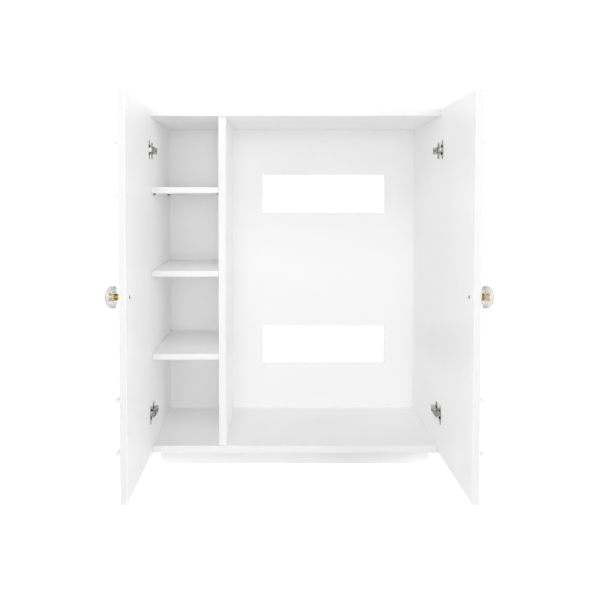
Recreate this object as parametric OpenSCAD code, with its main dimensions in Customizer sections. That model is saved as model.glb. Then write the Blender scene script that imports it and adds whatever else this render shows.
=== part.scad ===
// Two-door apothecary cabinet: a carcass on a recessed plinth, a narrow shelved bay on the left,
// an open bay on the right with two cut-outs in its back, and two doors on concealed cup hinges.
// Frame: +Z up, the front faces -Y, and the origin is on the floor under the middle of the carcass.
// Rest position: both doors stand open at a right angle to the front.

/* [Carcass] */
// Width of the carcass
carcass_w = 914; // [760:1:1200]
// Height of the carcass above its plinth
carcass_h = 1040; // [900:1:1300]
// Depth of the carcass without its doors
carcass_d = 505; // [400:1:620]
// Thickness of the side, top, bottom and divider panels
panel_t = 22; // [18:1:27]
// Thickness of the back panel
back_t = 10; // [6:1:14]
// How far the back panel stays in from the rear edges
back_inset = 5; // [2:1:10]
// How deep the back panel is let into the panels around it
back_rebate = 10; // [9:1:14]

/* [Plinth] */
// Height of the plinth
plinth_h = 48; // [30:1:90]
// Thickness of the plinth boards
plinth_t = 18; // [15:1:25]
// How far the plinth stays behind the front edges
plinth_front_in = 50; // [20:1:90]
// How far the plinth stays in from each side
plinth_side_in = 43; // [10:1:80]
// How far the plinth stays in from the rear edges
plinth_back_in = 20; // [0:1:60]
// Width of the foot rail across the middle of the plinth
foot_rail_w = 40; // [24:1:80]

/* [Bays and shelves] */
// Clear width of the narrow left bay
left_bay_w = 203; // [160:1:300]
// How far the divider and the shelves stay behind the front edges
setback = 15; // [4:1:30]
// Thickness of a shelf
shelf_t = 18; // [15:1:25]
// Clear height under the lowest shelf
lowest_opening = 260; // [200:1:300]
// Step from one shelf to the next
shelf_pitch = 253; // [200:1:270]
// Gap between a shelf and each panel beside it
shelf_gap = 1; // [0.5:0.1:2]

/* [Back cut-outs] */
// Width of each cut-out
cutout_w = 434; // [200:1:520]
// Height of each cut-out
cutout_h = 135; // [60:1:200]
// Step between the middles of the two cut-outs
cutout_step = 539; // [300:1:620]

/* [Doors] */
// Thickness of a door
door_t = 18; // [16:1:22]
// How far a closed door stays in from the outer faces of the carcass
door_reveal = 1; // [0.5:0.5:3]
// Gap between the two closed doors
meeting_gap = 3; // [2:0.5:5]
// Width of the small chamfer along the edges of the boards
edge_ease = 0.8; // [0.3:0.1:1.5]

/* [Mouldings] */
// Width of the bead moulding
bead_w = 10; // [8:0.5:14]
// How far the bead moulding stands off the door
bead_h = 10.5; // [8:0.5:14]
// Height of the outer moulding frame, between the middles of its beads
outer_frame_h = 780; // [640:1:840]
// Width of the outer moulding frame, across both doors
outer_frame_w = 654; // [500:1:720]
// Height of the inner moulding frame, between the middles of its beads
inner_frame_h = 512; // [360:1:560]
// Width of the inner moulding frame, across both doors
inner_frame_w = 394; // [260:1:440]

/* [Knobs] */
// Diameter of a knob's disc
knob_d = 58; // [40:1:70]
// Thickness of a knob's disc at its middle
knob_t = 25; // [18:1:30]
// Distance from the door to the disc
knob_standoff = 18; // [12:1:24]
// Diameter of the knob's stem
stem_d = 18; // [13:1:22]
// Distance from the middle of a knob to the door's free edge
knob_in = 55; // [40:1:90]

/* [Hinges] */
// Distance from the middle of a hinge to the end of the door panel
hinge_end = 124; // [80:1:200]
// Outer diameter of the hinge cup
cup_d = 35; // [34:0.5:36]
// Depth of the hinge cup
cup_depth = 12; // [11.5:0.5:13]
// Diameter of the hinge pins
hinge_pin_d = 2.5; // [2:0.1:3]

/* [Fasteners] */
// Diameter of the wooden dowels
dowel_d = 8; // [6:1:10]
// Length of the wooden dowels
dowel_len = 30; // [24:1:34]
// Diameter of the shelf pins
shelf_pin_d = 5; // [4:0.5:6]

/* [Hidden] */
SIDES = ["left", "right"];
$fn = 64;
// How far a cut runs past the face that it opens
past = 1;

// Finishes
LACQUER = "white";
INSIDE = "whitesmoke";
BEECH = "burlywood";
STEEL = "silver";
BRASS = "goldenrod";
ACRYLIC = "ivory";

// Carcass
front_y = -carcass_d / 2;
rear_y = carcass_d / 2;
low_z = plinth_h;
high_z = plinth_h + carcass_h;
mid_z = (low_z + high_z) / 2;
inner_w = carcass_w - 2 * panel_t;
inner_x = inner_w / 2;
back_y = rear_y - back_inset - back_t;
back_gap = 0.5;

// Bays and shelves
divider_x = -inner_x + left_bay_w;
bay_x = divider_x + panel_t;
bay_w = inner_x - bay_x;
shelf_w = left_bay_w - 2 * shelf_gap;
shelf_rear_gap = 2;
shelf_d = back_y - front_y - setback - shelf_rear_gap;
shelf_z = [for (i = [0:2]) low_z + panel_t + lowest_opening + i * shelf_pitch];
shelf_pin_len = 18;
shelf_pin_in = 10;
shelf_pin_collar_d = shelf_pin_d + 3;
shelf_pin_collar_t = 0.8;
shelf_pin_front_in = 50;
shelf_pin_rear_in = 60;
shelf_pin_y = [front_y + setback + shelf_pin_front_in, back_y - shelf_pin_rear_in];

// Dowels, placed along the depth of each joint
dowel_in = dowel_len / 3;
dowel_spare = 0.5;
dowel_end_in = 35;
dowel_y = spaced(front_y + setback + dowel_end_in, back_y - dowel_end_in, 4);

// Plinth
plinth_x = carcass_w / 2 - plinth_side_in;
plinth_front_y = front_y + plinth_front_in;
plinth_rear_y = rear_y - plinth_back_in;
plinth_row_x = plinth_x - plinth_t / 2;
plinth_row_y = [plinth_front_y + plinth_t / 2, plinth_rear_y - plinth_t / 2];
plinth_dowel_in = [90, 70];
plinth_dowel_x = spaced(-plinth_x + plinth_dowel_in[0], plinth_x - plinth_dowel_in[0], 4);
plinth_dowel_y = [
    plinth_front_y + plinth_t + plinth_dowel_in[1],
    plinth_rear_y - plinth_t - plinth_dowel_in[1]
];
plinth_dowel_up = 12;

// Screws: shank diameter, head diameter, head height
WOOD_SCREW = [3.5, 7, 2];
PLATE_SCREW = [3.8, 7.4, 2];
CUP_SCREW = [3.4, 6.4, 1.8];
screw_rim = 0.3;
back_screw_len = 30;
back_screw_side_in = 90;
back_screw_end_in = 130;
back_screw_divider_in = 150;

// Hinge, measured from the inner face of the side panel and from the front edges
arm_pin = [9, -7];
link_at_rest = [-13, -11.66];
cup_pin_inset = 8.34;
cup_pin_depth = 6;
cup_pin_offset = 9.84;
cup_pin = [panel_t - door_reveal - cup_pin_inset, -cup_pin_depth];
cup_x = cup_pin[0] + cup_pin_offset;
cup_wall = 1;
link_len = norm(link_at_rest);
link_angle = atan2(link_at_rest[1], link_at_rest[0]);
link_w = 15;
link_t = 2.4;
link_bulge = 4;
knuckle_r = 2.6;
pin_play = 0.05;
cheek_in = link_w / 2 + 0.6;
cheek_t = 1.5;
cheek_out = cheek_in + cheek_t;
nose_r = 3;
arm_low = 3.5;
arm_high = 13;
arm_len = 62;
plate_y = 37;
plate_size = [2, 18, 50];
plate_rib_w = 15;
plate_screw_z = 16;
plate_screw_len = 16;
arm_screw_y = [24, 44];
arm_screw_d = 4;
arm_screw_head = [8, 2];
flange_t = 1.2;
flange_size = [18, 57];
wing_z = (flange_size[1] - flange_size[0]) / 2;
flange_ring = 2;
cup_screw_z = 24;
cup_screw_x = 6;
cup_screw_len = 14;
ear_t = 2.4;
ear_out = cheek_in + ear_t;
arm_screw_len = 9;
plate_rib_y = [20, 56];
hinge_z = [low_z + hinge_end, high_z - hinge_end];

// Doors
door_w = (carcass_w - 2 * door_reveal - meeting_gap) / 2;
door_h = carcass_h - 2 * door_reveal;
door_low_z = low_z + door_reveal;
door_at = [
    -inner_x + arm_pin[0] + link_at_rest[0] + cup_pin_depth,
    front_y + arm_pin[1] + link_at_rest[1] + cup_pin[0]
];
knob_at = [door_w - knob_in, -door_t, mid_z];
knob_screw_d = 4;
knob_screw_in = 9;
knob_screw_head = [9, 2.2];
knob_bore_d = 14;
knob_bore_depth = 12;
knob_crown_r = 50;
knob_front_r = 12;
knob_back_r = 1.5;
stem_foot = 1.5;
stem_waist = 1.5;
stem_collar = 1;

// n values from a to b, evenly apart
function spaced(a, b, n) = [for (i = [0:n - 1]) a + (b - a) * i / (n - 1)];

// ---- helpers ----

// A block from one corner to the opposite one
module block(low, high) {
    translate(low)
        cube([for (i = [0:2]) high[i] - low[i]]);
}

// A block with a small chamfer along its four edges that run along one axis: "x", "y" or "z"
module eased_board(low, high, along) {
    size = [for (i = [0:2]) high[i] - low[i]];
    e = edge_ease;
    turn = along == "x" ? [90, 0, 90] : along == "y" ? [-90, 0, 0] : [0, 0, 0];
    flat = along == "x" ? [size[1], size[2], size[0]]
         : along == "y" ? [size[0], -size[2], size[1]]
         : size;
    s = sign(flat[1]);
    translate(low)
        rotate(turn)
            linear_extrude(flat[2])
                polygon([
                    [e, 0], [flat[0] - e, 0], [flat[0], s * e], [flat[0], flat[1] - s * e],
                    [flat[0] - e, flat[1]], [e, flat[1]], [0, flat[1] - s * e], [0, s * e]
                ]);
}

// A round bar with its end at the origin, pointing along an axis: "x", "y" or "z"
module bar(d, len, axis = "z") {
    turn = axis == "x" ? [0, 90, 0] : axis == "y" ? [-90, 0, 0] : [0, 0, 0];
    rotate(turn)
        cylinder(d = d, h = len);
}

// A countersunk screw along +Z with the flat of its head at z = 0 and its point at z = len
module countersunk_screw(kind, len) {
    rotate_extrude()
        polygon([
            [0, 0], [kind[1] / 2, 0], [kind[1] / 2, screw_rim], [kind[0] / 2, kind[2]],
            [kind[0] / 2, len - kind[0]], [0, len]
        ]);
}

// Whichever side is wanted: the left one as it is drawn, or its mirror image
module on_side(side) {
    mirror([side == "right" ? 1 : 0, 0, 0])
        children();
}

// ---- carcass ----

// The dowels in one side panel: their ends in the top and the bottom panel
module side_dowels(spare = 0) {
    for (z = [low_z + panel_t / 2, high_z - panel_t / 2], y = dowel_y)
        translate([-inner_x - dowel_in - spare, y, z])
            bar(dowel_d, dowel_len + 2 * spare, "x");
}

// The dowels at the foot and the head of the divider
module divider_dowels(spare = 0) {
    for (y = dowel_y, z = [low_z + panel_t, high_z - panel_t]) {
        into_board = z < mid_z ? -dowel_in : dowel_in - dowel_len;
        translate([divider_x + panel_t / 2, y, z + into_board - spare])
            bar(dowel_d, dowel_len + 2 * spare);
    }
}

module carcass_dowels() {
    color(BEECH) {
        for (side = SIDES)
            on_side(side)
                side_dowels();
        divider_dowels();
    }
}

// The room that the back panel takes in the panels around it
module back_rebate_room() {
    block([-inner_x - back_rebate, back_y, low_z + panel_t - back_rebate],
          [inner_x + back_rebate, rear_y + past, high_z - panel_t + back_rebate]);
}

// The screws that hold the back panel to the rebates and to the divider
module back_screws() {
    edge_x = inner_x + back_rebate / 2;
    low = low_z + panel_t - back_rebate / 2;
    high = high_z - panel_t + back_rebate / 2;
    head_y = back_y + back_t;
    spots = [
        for (z = spaced(low_z + back_screw_side_in, high_z - back_screw_side_in, 5))
            each [[-edge_x, z], [edge_x, z]],
        for (x = spaced(-edge_x + back_screw_end_in, edge_x - back_screw_end_in, 3))
            each [[x, low], [x, high]],
        for (z = spaced(low_z + back_screw_divider_in, high_z - back_screw_divider_in, 3))
            [divider_x + panel_t / 2, z]
    ];
    for (spot = spots)
        translate([spot[0], head_y, spot[1]])
            rotate([90, 0, 0])
                countersunk_screw(WOOD_SCREW, back_screw_len);
}

module back_panel_screws() {
    color(STEEL)
        back_screws();
}

// A top or bottom board between the side panels
module flat_board(z) {
    color(LACQUER)
        difference() {
            eased_board([-inner_x, front_y, z], [inner_x, rear_y, z + panel_t], "x");
            back_rebate_room();
            back_screws();
            divider_dowels(dowel_spare);
            for (side = SIDES)
                on_side(side)
                    side_dowels(dowel_spare);
        }
}

module top_panel() {
    flat_board(high_z - panel_t);
}

module bottom_panel() {
    difference() {
        flat_board(low_z);
        plinth_dowel_set(dowel_spare);
    }
}

module side_panel(side) {
    color(LACQUER)
        difference() {
            on_side(side)
                eased_board([-carcass_w / 2, front_y, low_z], [-inner_x, rear_y, high_z], "z");
            back_rebate_room();
            back_screws();
            on_side(side) {
                side_dowels(dowel_spare);
                plate_screws();
            }
            shelf_pin_set();
        }
}

module divider_panel() {
    color(LACQUER)
        difference() {
            eased_board([divider_x, front_y + setback, low_z + panel_t],
                        [bay_x, back_y, high_z - panel_t], "z");
            divider_dowels(dowel_spare);
            shelf_pin_set();
            back_screws();
        }
}

module back_panel() {
    color(INSIDE)
        difference() {
            block([-inner_x - back_rebate + back_gap, back_y,
                   low_z + panel_t - back_rebate + back_gap],
                  [inner_x + back_rebate - back_gap, back_y + back_t,
                   high_z - panel_t + back_rebate - back_gap]);
            for (turn = [-1, 1])
                translate([bay_x + bay_w / 2, back_y + back_t / 2, mid_z + turn * cutout_step / 2])
                    cube([cutout_w, back_t + 2 * past, cutout_h], center = true);
            back_screws();
        }
}

// ---- plinth ----

// The dowels that hold the plinth under the bottom panel
module plinth_dowel_set(spare = 0) {
    spots = [
        for (x = plinth_dowel_x, y = plinth_row_y) [x, y],
        for (x = [-plinth_row_x, plinth_row_x], y = plinth_dowel_y) [x, y],
        for (y = plinth_dowel_y) [0, y]
    ];
    for (spot = spots)
        translate([spot[0], spot[1], plinth_h + plinth_dowel_up - dowel_len - spare])
            bar(dowel_d, dowel_len + 2 * spare);
}

module plinth_dowels() {
    color(BEECH)
        plinth_dowel_set();
}

module plinth_board(low, high, along) {
    color(LACQUER)
        difference() {
            eased_board(low, high, along);
            plinth_dowel_set(dowel_spare);
        }
}

module plinth_front_board() {
    plinth_board([-plinth_x, plinth_front_y, 0],
                 [plinth_x, plinth_front_y + plinth_t, plinth_h], "x");
}

module plinth_back_board() {
    plinth_board([-plinth_x, plinth_rear_y - plinth_t, 0],
                 [plinth_x, plinth_rear_y, plinth_h], "x");
}

module plinth_side_board(side) {
    on_side(side)
        plinth_board([-plinth_x, plinth_front_y + plinth_t, 0],
                     [-plinth_x + plinth_t, plinth_rear_y - plinth_t, plinth_h], "y");
}

module plinth_foot_rail() {
    plinth_board([-foot_rail_w / 2, plinth_front_y + plinth_t, 0],
                 [foot_rail_w / 2, plinth_rear_y - plinth_t, plinth_h], "y");
}

// ---- shelves ----

// One shelf pin along +X, from its blind end in a panel to its free end under the shelf
module shelf_pin() {
    translate([-shelf_pin_in, 0, 0])
        bar(shelf_pin_d, shelf_pin_len, "x");
    bar(shelf_pin_collar_d, shelf_pin_collar_t, "x");
}

module shelf_pin_set() {
    for (z = shelf_z, y = shelf_pin_y) {
        translate([-inner_x, y, z - shelf_pin_d / 2])
            shelf_pin();
        translate([divider_x, y, z - shelf_pin_d / 2])
            mirror([1, 0, 0])
                shelf_pin();
    }
}

module shelf_pins() {
    color(STEEL)
        shelf_pin_set();
}

// A shelf on its pins, counted from the lowest one
module shelf(i) {
    low = [-inner_x + shelf_gap, front_y + setback, shelf_z[i]];
    color(LACQUER)
        eased_board(low, low + [shelf_w, shelf_d, shelf_t], "x");
}

// ---- hinges ----

// Puts a hinge's cabinet parts at every height in a list: X inwards from the side panel's inner
// face, Y backwards from the front edges
module at_hinges(heights) {
    for (z = heights)
        translate([-inner_x, front_y, z])
            children();
}

module plate_screws(heights = hinge_z) {
    at_hinges(heights)
        for (turn = [-1, 1])
            translate([plate_size[0], plate_y, turn * plate_screw_z])
                rotate([0, -90, 0])
                    countersunk_screw(PLATE_SCREW, plate_screw_len);
}

// The two screws that clamp a hinge's arm to its plate
module arm_screws(heights = hinge_z) {
    at_hinges(heights)
        for (y = arm_screw_y)
            translate([arm_high, y, 0]) {
                bar(arm_screw_head[0], arm_screw_head[1], "x");
                translate([-arm_screw_len, 0, 0])
                    bar(arm_screw_d, arm_screw_len, "x");
            }
}

module arm_pins(heights = hinge_z) {
    at_hinges(heights)
        translate([arm_pin[0], arm_pin[1], -cheek_out])
            bar(hinge_pin_d, 2 * cheek_out);
}

module hinge_plate(side, height) {
    color(STEEL)
        on_side(side)
            difference() {
                at_hinges([height]) {
                    block([0, plate_y - plate_size[1] / 2, -plate_size[2] / 2],
                          [plate_size[0], plate_y + plate_size[1] / 2, plate_size[2] / 2]);
                    block([0, plate_rib_y[0], -plate_rib_w / 2],
                          [arm_high - cheek_t, plate_rib_y[1], plate_rib_w / 2]);
                }
                plate_screws([height]);
                arm_screws([height]);
            }
}

// The arm: two cheeks that carry the arm pin, joined along the top by a web
module hinge_arm(side, height) {
    color(STEEL)
        on_side(side)
            difference() {
                at_hinges([height]) {
                    for (z = [-cheek_out, cheek_in])
                        translate([0, 0, z])
                            linear_extrude(cheek_t)
                                arm_outline();
                    block([arm_high - cheek_t, 0, -cheek_out], [arm_high, arm_len, cheek_out]);
                }
                arm_pins([height]);
                arm_screws([height]);
            }
}

module arm_outline() {
    translate(arm_pin)
        circle(nose_r);
    polygon([
        arm_pin - [nose_r, 0], arm_pin + [nose_r, 0], [arm_high, 0], [arm_high, arm_len],
        [arm_low, arm_len - arm_low], [arm_low, arm_low]
    ]);
}

// The bowed link from the arm pin to the cup pin
module hinge_link(side, height) {
    bow_r = (pow(link_len / 2, 2) + pow(link_bulge, 2)) / (2 * link_bulge);
    half_angle = asin(link_len / 2 / bow_r);
    color(STEEL)
        on_side(side)
            at_hinges([height])
                translate([arm_pin[0], arm_pin[1], -link_w / 2])
                    rotate(link_angle)
                        difference() {
                            union() {
                                translate([link_len / 2, link_bulge - bow_r, 0])
                                    rotate(90 - half_angle)
                                        rotate_extrude(angle = 2 * half_angle)
                                            translate([bow_r - link_t / 2, 0])
                                                square([link_t, link_w]);
                                for (x = [0, link_len])
                                    translate([x, 0, 0])
                                        bar(2 * knuckle_r, link_w);
                            }
                            for (x = [0, link_len])
                                translate([x, 0, -past])
                                    bar(hinge_pin_d + 2 * pin_play, link_w + 2 * past);
                        }
}

// The hinge fasteners and pins of both sides
module hinge_plate_screws() {
    color(STEEL)
        for (side = SIDES)
            on_side(side)
                plate_screws();
}

module hinge_arm_screws() {
    color(STEEL)
        for (side = SIDES)
            on_side(side)
                arm_screws();
}

module hinge_arm_pins() {
    color(STEEL)
        for (side = SIDES)
            on_side(side)
                arm_pins();
}

// ---- doors ----

// A left door's own frame, in its place with the door open: X from the hinge edge to the free
// edge, Y = 0 on the inner face and -Y outwards, Z as in the cabinet
module on_door(side) {
    on_side(side)
        translate([door_at[0], door_at[1], 0])
            rotate(-90)
                children();
}

// The room of a hinge cup in the door
module cup_room() {
    for (z = hinge_z)
        translate([cup_x, -cup_depth, z])
            bar(cup_d, cup_depth + past, "y");
}

module cup_screws() {
    for (z = hinge_z, turn = [-1, 1])
        translate([cup_x + cup_screw_x, flange_t, z + turn * cup_screw_z])
            rotate([90, 0, 0])
                countersunk_screw(CUP_SCREW, cup_screw_len);
}

module cup_pins() {
    for (z = hinge_z)
        translate([cup_pin[0], cup_pin[1], z - ear_out])
            bar(hinge_pin_d, 2 * ear_out);
}

module door_cup_screws(side) {
    color(STEEL)
        on_door(side)
            cup_screws();
}

module door_cup_pins(side) {
    color(STEEL)
        on_door(side)
            cup_pins();
}

module hinge_cup(side, height) {
    color(STEEL)
        on_door(side)
            difference() {
                union() {
                    difference() {
                        cup_shell(height);
                        translate([cup_x, -cup_depth + cup_wall, height])
                            bar(cup_d - 2 * cup_wall, 2 * cup_depth, "y");
                    }
                    cup_ears(height);
                }
                cup_pins();
                cup_screws();
            }
}

// The cup's outside: a short cylinder and a flange with a wing for each screw
module cup_shell(height) {
    translate([cup_x, -cup_depth, height])
        bar(cup_d, cup_depth + flange_t, "y");
    translate([cup_x, flange_t, height])
        rotate([90, 0, 0])
            linear_extrude(flange_t) {
                circle(d = cup_d + 2 * flange_ring);
                translate([cup_screw_x, 0]) {
                    square([flange_size[0], 2 * wing_z], center = true);
                    for (z = [-wing_z, wing_z])
                        translate([0, z])
                            circle(d = flange_size[0]);
                }
            }
}

// The two ears that hold the cup pin
module cup_ears(height) {
    for (z = [-ear_out, ear_out - ear_t])
        translate([cup_pin[0], 0, height + z]) {
            block([-knuckle_r, -cup_depth, 0], [knuckle_r, cup_pin[1], ear_t]);
            translate([0, cup_pin[1], 0])
                bar(2 * knuckle_r, ear_t);
        }
}

module door_panel(side) {
    low = [0, -door_t, door_low_z];
    high = [door_w, 0, door_low_z + door_h];
    color(LACQUER)
        on_door(side)
            difference() {
                intersection() {
                    eased_board(low, high, "x");
                    eased_board(low, high, "y");
                    eased_board(low, high, "z");
                }
                cup_room();
                cup_screws();
                knob_screw_solid();
            }
}

// ---- mouldings ----

// A length of bead along +X with its foot on z = 0. An end with a mitre of 1 is cut at 45 degrees,
// its longer side towards -Y, and one with a mitre of 0 is cut square.
module bead_run(len, start_mitre, end_mitre) {
    half = bead_w / 2;
    intersection() {
        linear_extrude(bead_h + past)
            polygon([
                [-start_mitre * half, -half], [len + end_mitre * half, -half],
                [len - end_mitre * half, half], [start_mitre * half, half]
            ]);
        translate([-bead_w, 0, 0])
            rotate([90, 0, 90])
                linear_extrude(len + 2 * bead_w) {
                    translate([-half, 0])
                        square([bead_w, bead_h - half]);
                    translate([0, bead_h - half])
                        circle(half);
                }
    }
}

// One door's half of a moulding frame that runs across both doors
module moulding(side, frame_w, frame_h) {
    stile_x = door_w + meeting_gap / 2 - frame_w / 2;
    color(LACQUER)
        on_door(side)
            translate([stile_x, -door_t, mid_z])
                rotate([90, 0, 0]) {
                    for (flip = [0, 1])
                        mirror([0, flip, 0])
                            translate([0, -frame_h / 2, 0])
                                bead_run(door_w - stile_x, 1, 0);
                    translate([0, frame_h / 2, 0])
                        rotate(-90)
                            bead_run(frame_h, 1, 1);
                }
}

// ---- knobs ----

// A knob's own frame: its axis is +Z, and the door's outer face is z = 0
module at_knob(side) {
    on_door(side)
        translate(knob_at)
            rotate([90, 0, 0])
                children();
}

module knob_screw_solid() {
    translate([knob_at[0], 0, mid_z])
        rotate([90, 0, 0]) {
            translate([0, 0, -knob_screw_head[1]])
                bar(knob_screw_head[0], knob_screw_head[1]);
            bar(knob_screw_d, door_t + knob_screw_in);
        }
}

module knob_screw(side) {
    color(STEEL)
        on_door(side)
            knob_screw_solid();
}

// The stem: a foot on the door, a waist, a shoulder under the disc and a spigot inside it
module knob_stem(side) {
    r = stem_d / 2;
    waist_r = r - stem_waist;
    spigot_end = knob_standoff + knob_bore_depth;
    color(BRASS)
        at_knob(side)
            rotate_extrude()
                polygon([
                    [knob_screw_d / 2, 0], [r + stem_foot, 0], [r + stem_foot, stem_foot],
                    [waist_r, 2 * stem_foot + stem_waist],
                    [waist_r, knob_standoff - 2 * stem_waist - stem_collar],
                    [r, knob_standoff - stem_waist - stem_collar], [r, knob_standoff],
                    [knob_bore_d / 2, knob_standoff], [knob_bore_d / 2, spigot_end],
                    [0, spigot_end], [0, knob_screw_in], [knob_screw_d / 2, knob_screw_in]
                ]);
}

// The disc: a flat back, a straight rim and a crowned front
module knob_disc(side) {
    color(ACRYLIC)
        at_knob(side)
            translate([0, 0, knob_standoff])
                rotate_extrude()
                    difference() {
                        intersection() {
                            disc_section();
                            translate([0, knob_t - knob_crown_r])
                                circle(knob_crown_r);
                        }
                        square([knob_bore_d / 2, knob_bore_depth]);
                    }
}

// Half of the disc's section before its front is crowned: a rectangle with two rounded corners
module disc_section() {
    r = knob_d / 2;
    square([r - knob_front_r, knob_t]);
    translate([0, knob_back_r])
        square([r, knob_t - knob_front_r - knob_back_r]);
    square([r - knob_back_r, knob_back_r]);
    translate([r - knob_front_r, knob_t - knob_front_r])
        circle(knob_front_r);
    translate([r - knob_back_r, knob_back_r])
        circle(knob_back_r);
}

// ---- nodes ----

top_panel();
bottom_panel();
side_panel("left");  // left_side_panel
side_panel("right");  // right_side_panel
divider_panel();
back_panel();
back_panel_screws();
carcass_dowels();
plinth_front_board();
plinth_back_board();
plinth_side_board("left");  // plinth_left_board
plinth_side_board("right");  // plinth_right_board
plinth_foot_rail();
plinth_dowels();
shelf(2);  // upper_shelf
shelf(1);  // middle_shelf
shelf(0);  // lower_shelf
shelf_pins();
hinge_plate("left", hinge_z[1]);  // left_upper_hinge_plate
hinge_plate("left", hinge_z[0]);  // left_lower_hinge_plate
hinge_plate("right", hinge_z[1]);  // right_upper_hinge_plate
hinge_plate("right", hinge_z[0]);  // right_lower_hinge_plate
hinge_arm("left", hinge_z[1]);  // left_upper_hinge_arm
hinge_arm("left", hinge_z[0]);  // left_lower_hinge_arm
hinge_arm("right", hinge_z[1]);  // right_upper_hinge_arm
hinge_arm("right", hinge_z[0]);  // right_lower_hinge_arm
hinge_plate_screws();
hinge_arm_screws();
hinge_arm_pins();
hinge_link("left", hinge_z[1]);  // left_upper_hinge_link
hinge_link("left", hinge_z[0]);  // left_lower_hinge_link
hinge_link("right", hinge_z[1]);  // right_upper_hinge_link
hinge_link("right", hinge_z[0]);  // right_lower_hinge_link
hinge_cup("left", hinge_z[1]);  // left_upper_hinge_cup
hinge_cup("left", hinge_z[0]);  // left_lower_hinge_cup
hinge_cup("right", hinge_z[1]);  // right_upper_hinge_cup
hinge_cup("right", hinge_z[0]);  // right_lower_hinge_cup
door_cup_screws("left");  // left_cup_screws
door_cup_screws("right");  // right_cup_screws
door_cup_pins("left");  // left_cup_pins
door_cup_pins("right");  // right_cup_pins
door_panel("left");  // left_door_panel
door_panel("right");  // right_door_panel
moulding("left", outer_frame_w, outer_frame_h);  // left_outer_moulding
moulding("right", outer_frame_w, outer_frame_h);  // right_outer_moulding
moulding("left", inner_frame_w, inner_frame_h);  // left_inner_moulding
moulding("right", inner_frame_w, inner_frame_h);  // right_inner_moulding
knob_stem("left");  // left_knob_stem
knob_stem("right");  // right_knob_stem
knob_disc("left");  // left_knob_disc
knob_disc("right");  // right_knob_disc
knob_screw("left");  // left_knob_screw
knob_screw("right");  // right_knob_screw
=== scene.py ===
"""A white two-door apothecary cabinet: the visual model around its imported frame.

Places are worked out from the boxes of the frame's nodes, in metres, with +Z up and the front
facing -Y; only the two pivots of the hinges are given as sizes. At rest both doors stand open at a
right angle to the front.
"""

import logging
import math
from collections.abc import Callable
from dataclasses import dataclass
from enum import Enum

import bmesh
import bpy
import numpy as np
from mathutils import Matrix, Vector


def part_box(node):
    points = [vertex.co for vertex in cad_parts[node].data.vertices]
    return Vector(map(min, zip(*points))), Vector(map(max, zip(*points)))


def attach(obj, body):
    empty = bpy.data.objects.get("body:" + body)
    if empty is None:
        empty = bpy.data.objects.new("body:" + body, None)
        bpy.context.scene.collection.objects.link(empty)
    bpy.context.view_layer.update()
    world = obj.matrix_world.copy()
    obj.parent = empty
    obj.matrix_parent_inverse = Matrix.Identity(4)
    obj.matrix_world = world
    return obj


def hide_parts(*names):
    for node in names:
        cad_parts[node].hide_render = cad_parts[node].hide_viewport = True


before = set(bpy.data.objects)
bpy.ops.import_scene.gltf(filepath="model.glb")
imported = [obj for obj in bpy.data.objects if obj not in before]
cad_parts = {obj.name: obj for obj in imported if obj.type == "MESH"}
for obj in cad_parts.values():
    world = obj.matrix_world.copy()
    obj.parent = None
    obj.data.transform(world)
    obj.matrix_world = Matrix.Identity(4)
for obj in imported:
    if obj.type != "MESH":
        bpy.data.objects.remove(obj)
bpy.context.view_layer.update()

LOG = logging.getLogger("cabinet")
MM = 0.001
MERGE_DISTANCE = 1e-7
SHARP_ANGLE = 32.0
BACKWARDS = np.array([0.0, 1.0, 0.0])
UPWARDS = np.array([0.0, 0.0, 1.0])
# A ripple takes the grids of angle, distance along the axis and radius of a turned surface, and
# gives the changed distance and radius.
Ripple = Callable[[np.ndarray, np.ndarray, np.ndarray], tuple[np.ndarray, np.ndarray]]


# ---- words for the object ----


class Side(Enum):
    """Which door, and what hangs it."""

    LEFT = "left"
    RIGHT = "right"

    @property
    def outward(self) -> np.ndarray:
        """The direction in which this side's open door shows its outer face."""
        return np.array([-1.0 if self is Side.LEFT else 1.0, 0.0, 0.0])

    @property
    def door(self) -> "Body":
        """The body of this side's door."""
        return Body(f"{self.value}_door")

    @property
    def links(self) -> "Body":
        """The body of the links that carry this side's door."""
        return Body(f"{self.value}_links")


class Height(Enum):
    """Which of a door's two hinges."""

    UPPER = "upper"
    LOWER = "lower"


class Body(Enum):
    """The bodies of the frame that pieces ride on."""

    CABINET = "cabinet"
    LEFT_DOOR = "left_door"
    RIGHT_DOOR = "right_door"
    LEFT_LINKS = "left_links"
    RIGHT_LINKS = "right_links"


class Slot(Enum):
    """The record's finishes."""

    LACQUER = "lacquer"
    BACK_LACQUER = "back_lacquer"
    BEECH = "beech"
    NICKEL = "nickel"
    ZINC_STEEL = "zinc_steel"
    BRASS = "brass"
    ACRYLIC = "acrylic"


class Head(Enum):
    """How a screw's head is turned."""

    COUNTERSUNK = "countersunk"
    CHEESE = "cheese"
    PAN = "pan"


# ---- boxes and places ----


@dataclass(frozen=True)
class Box:
    """The lowest and highest corner of a solid at rest, in metres.

    Attributes:
        low: Its lowest x, y and z.
        high: Its highest x, y and z.
    """

    low: np.ndarray
    high: np.ndarray

    @classmethod
    def of(cls, node: str) -> "Box":
        """The box of one node of the frame."""
        low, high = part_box(node)
        return cls(np.array(low), np.array(high))

    @property
    def size(self) -> np.ndarray:
        """The box's three side lengths."""
        return self.high - self.low

    @property
    def centre(self) -> np.ndarray:
        """The middle of the box."""
        return (self.low + self.high) / 2

    def face(self, direction: np.ndarray) -> np.ndarray:
        """The middle of the face that looks in an axis direction."""
        return self.centre + direction * self.size / 2


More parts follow.
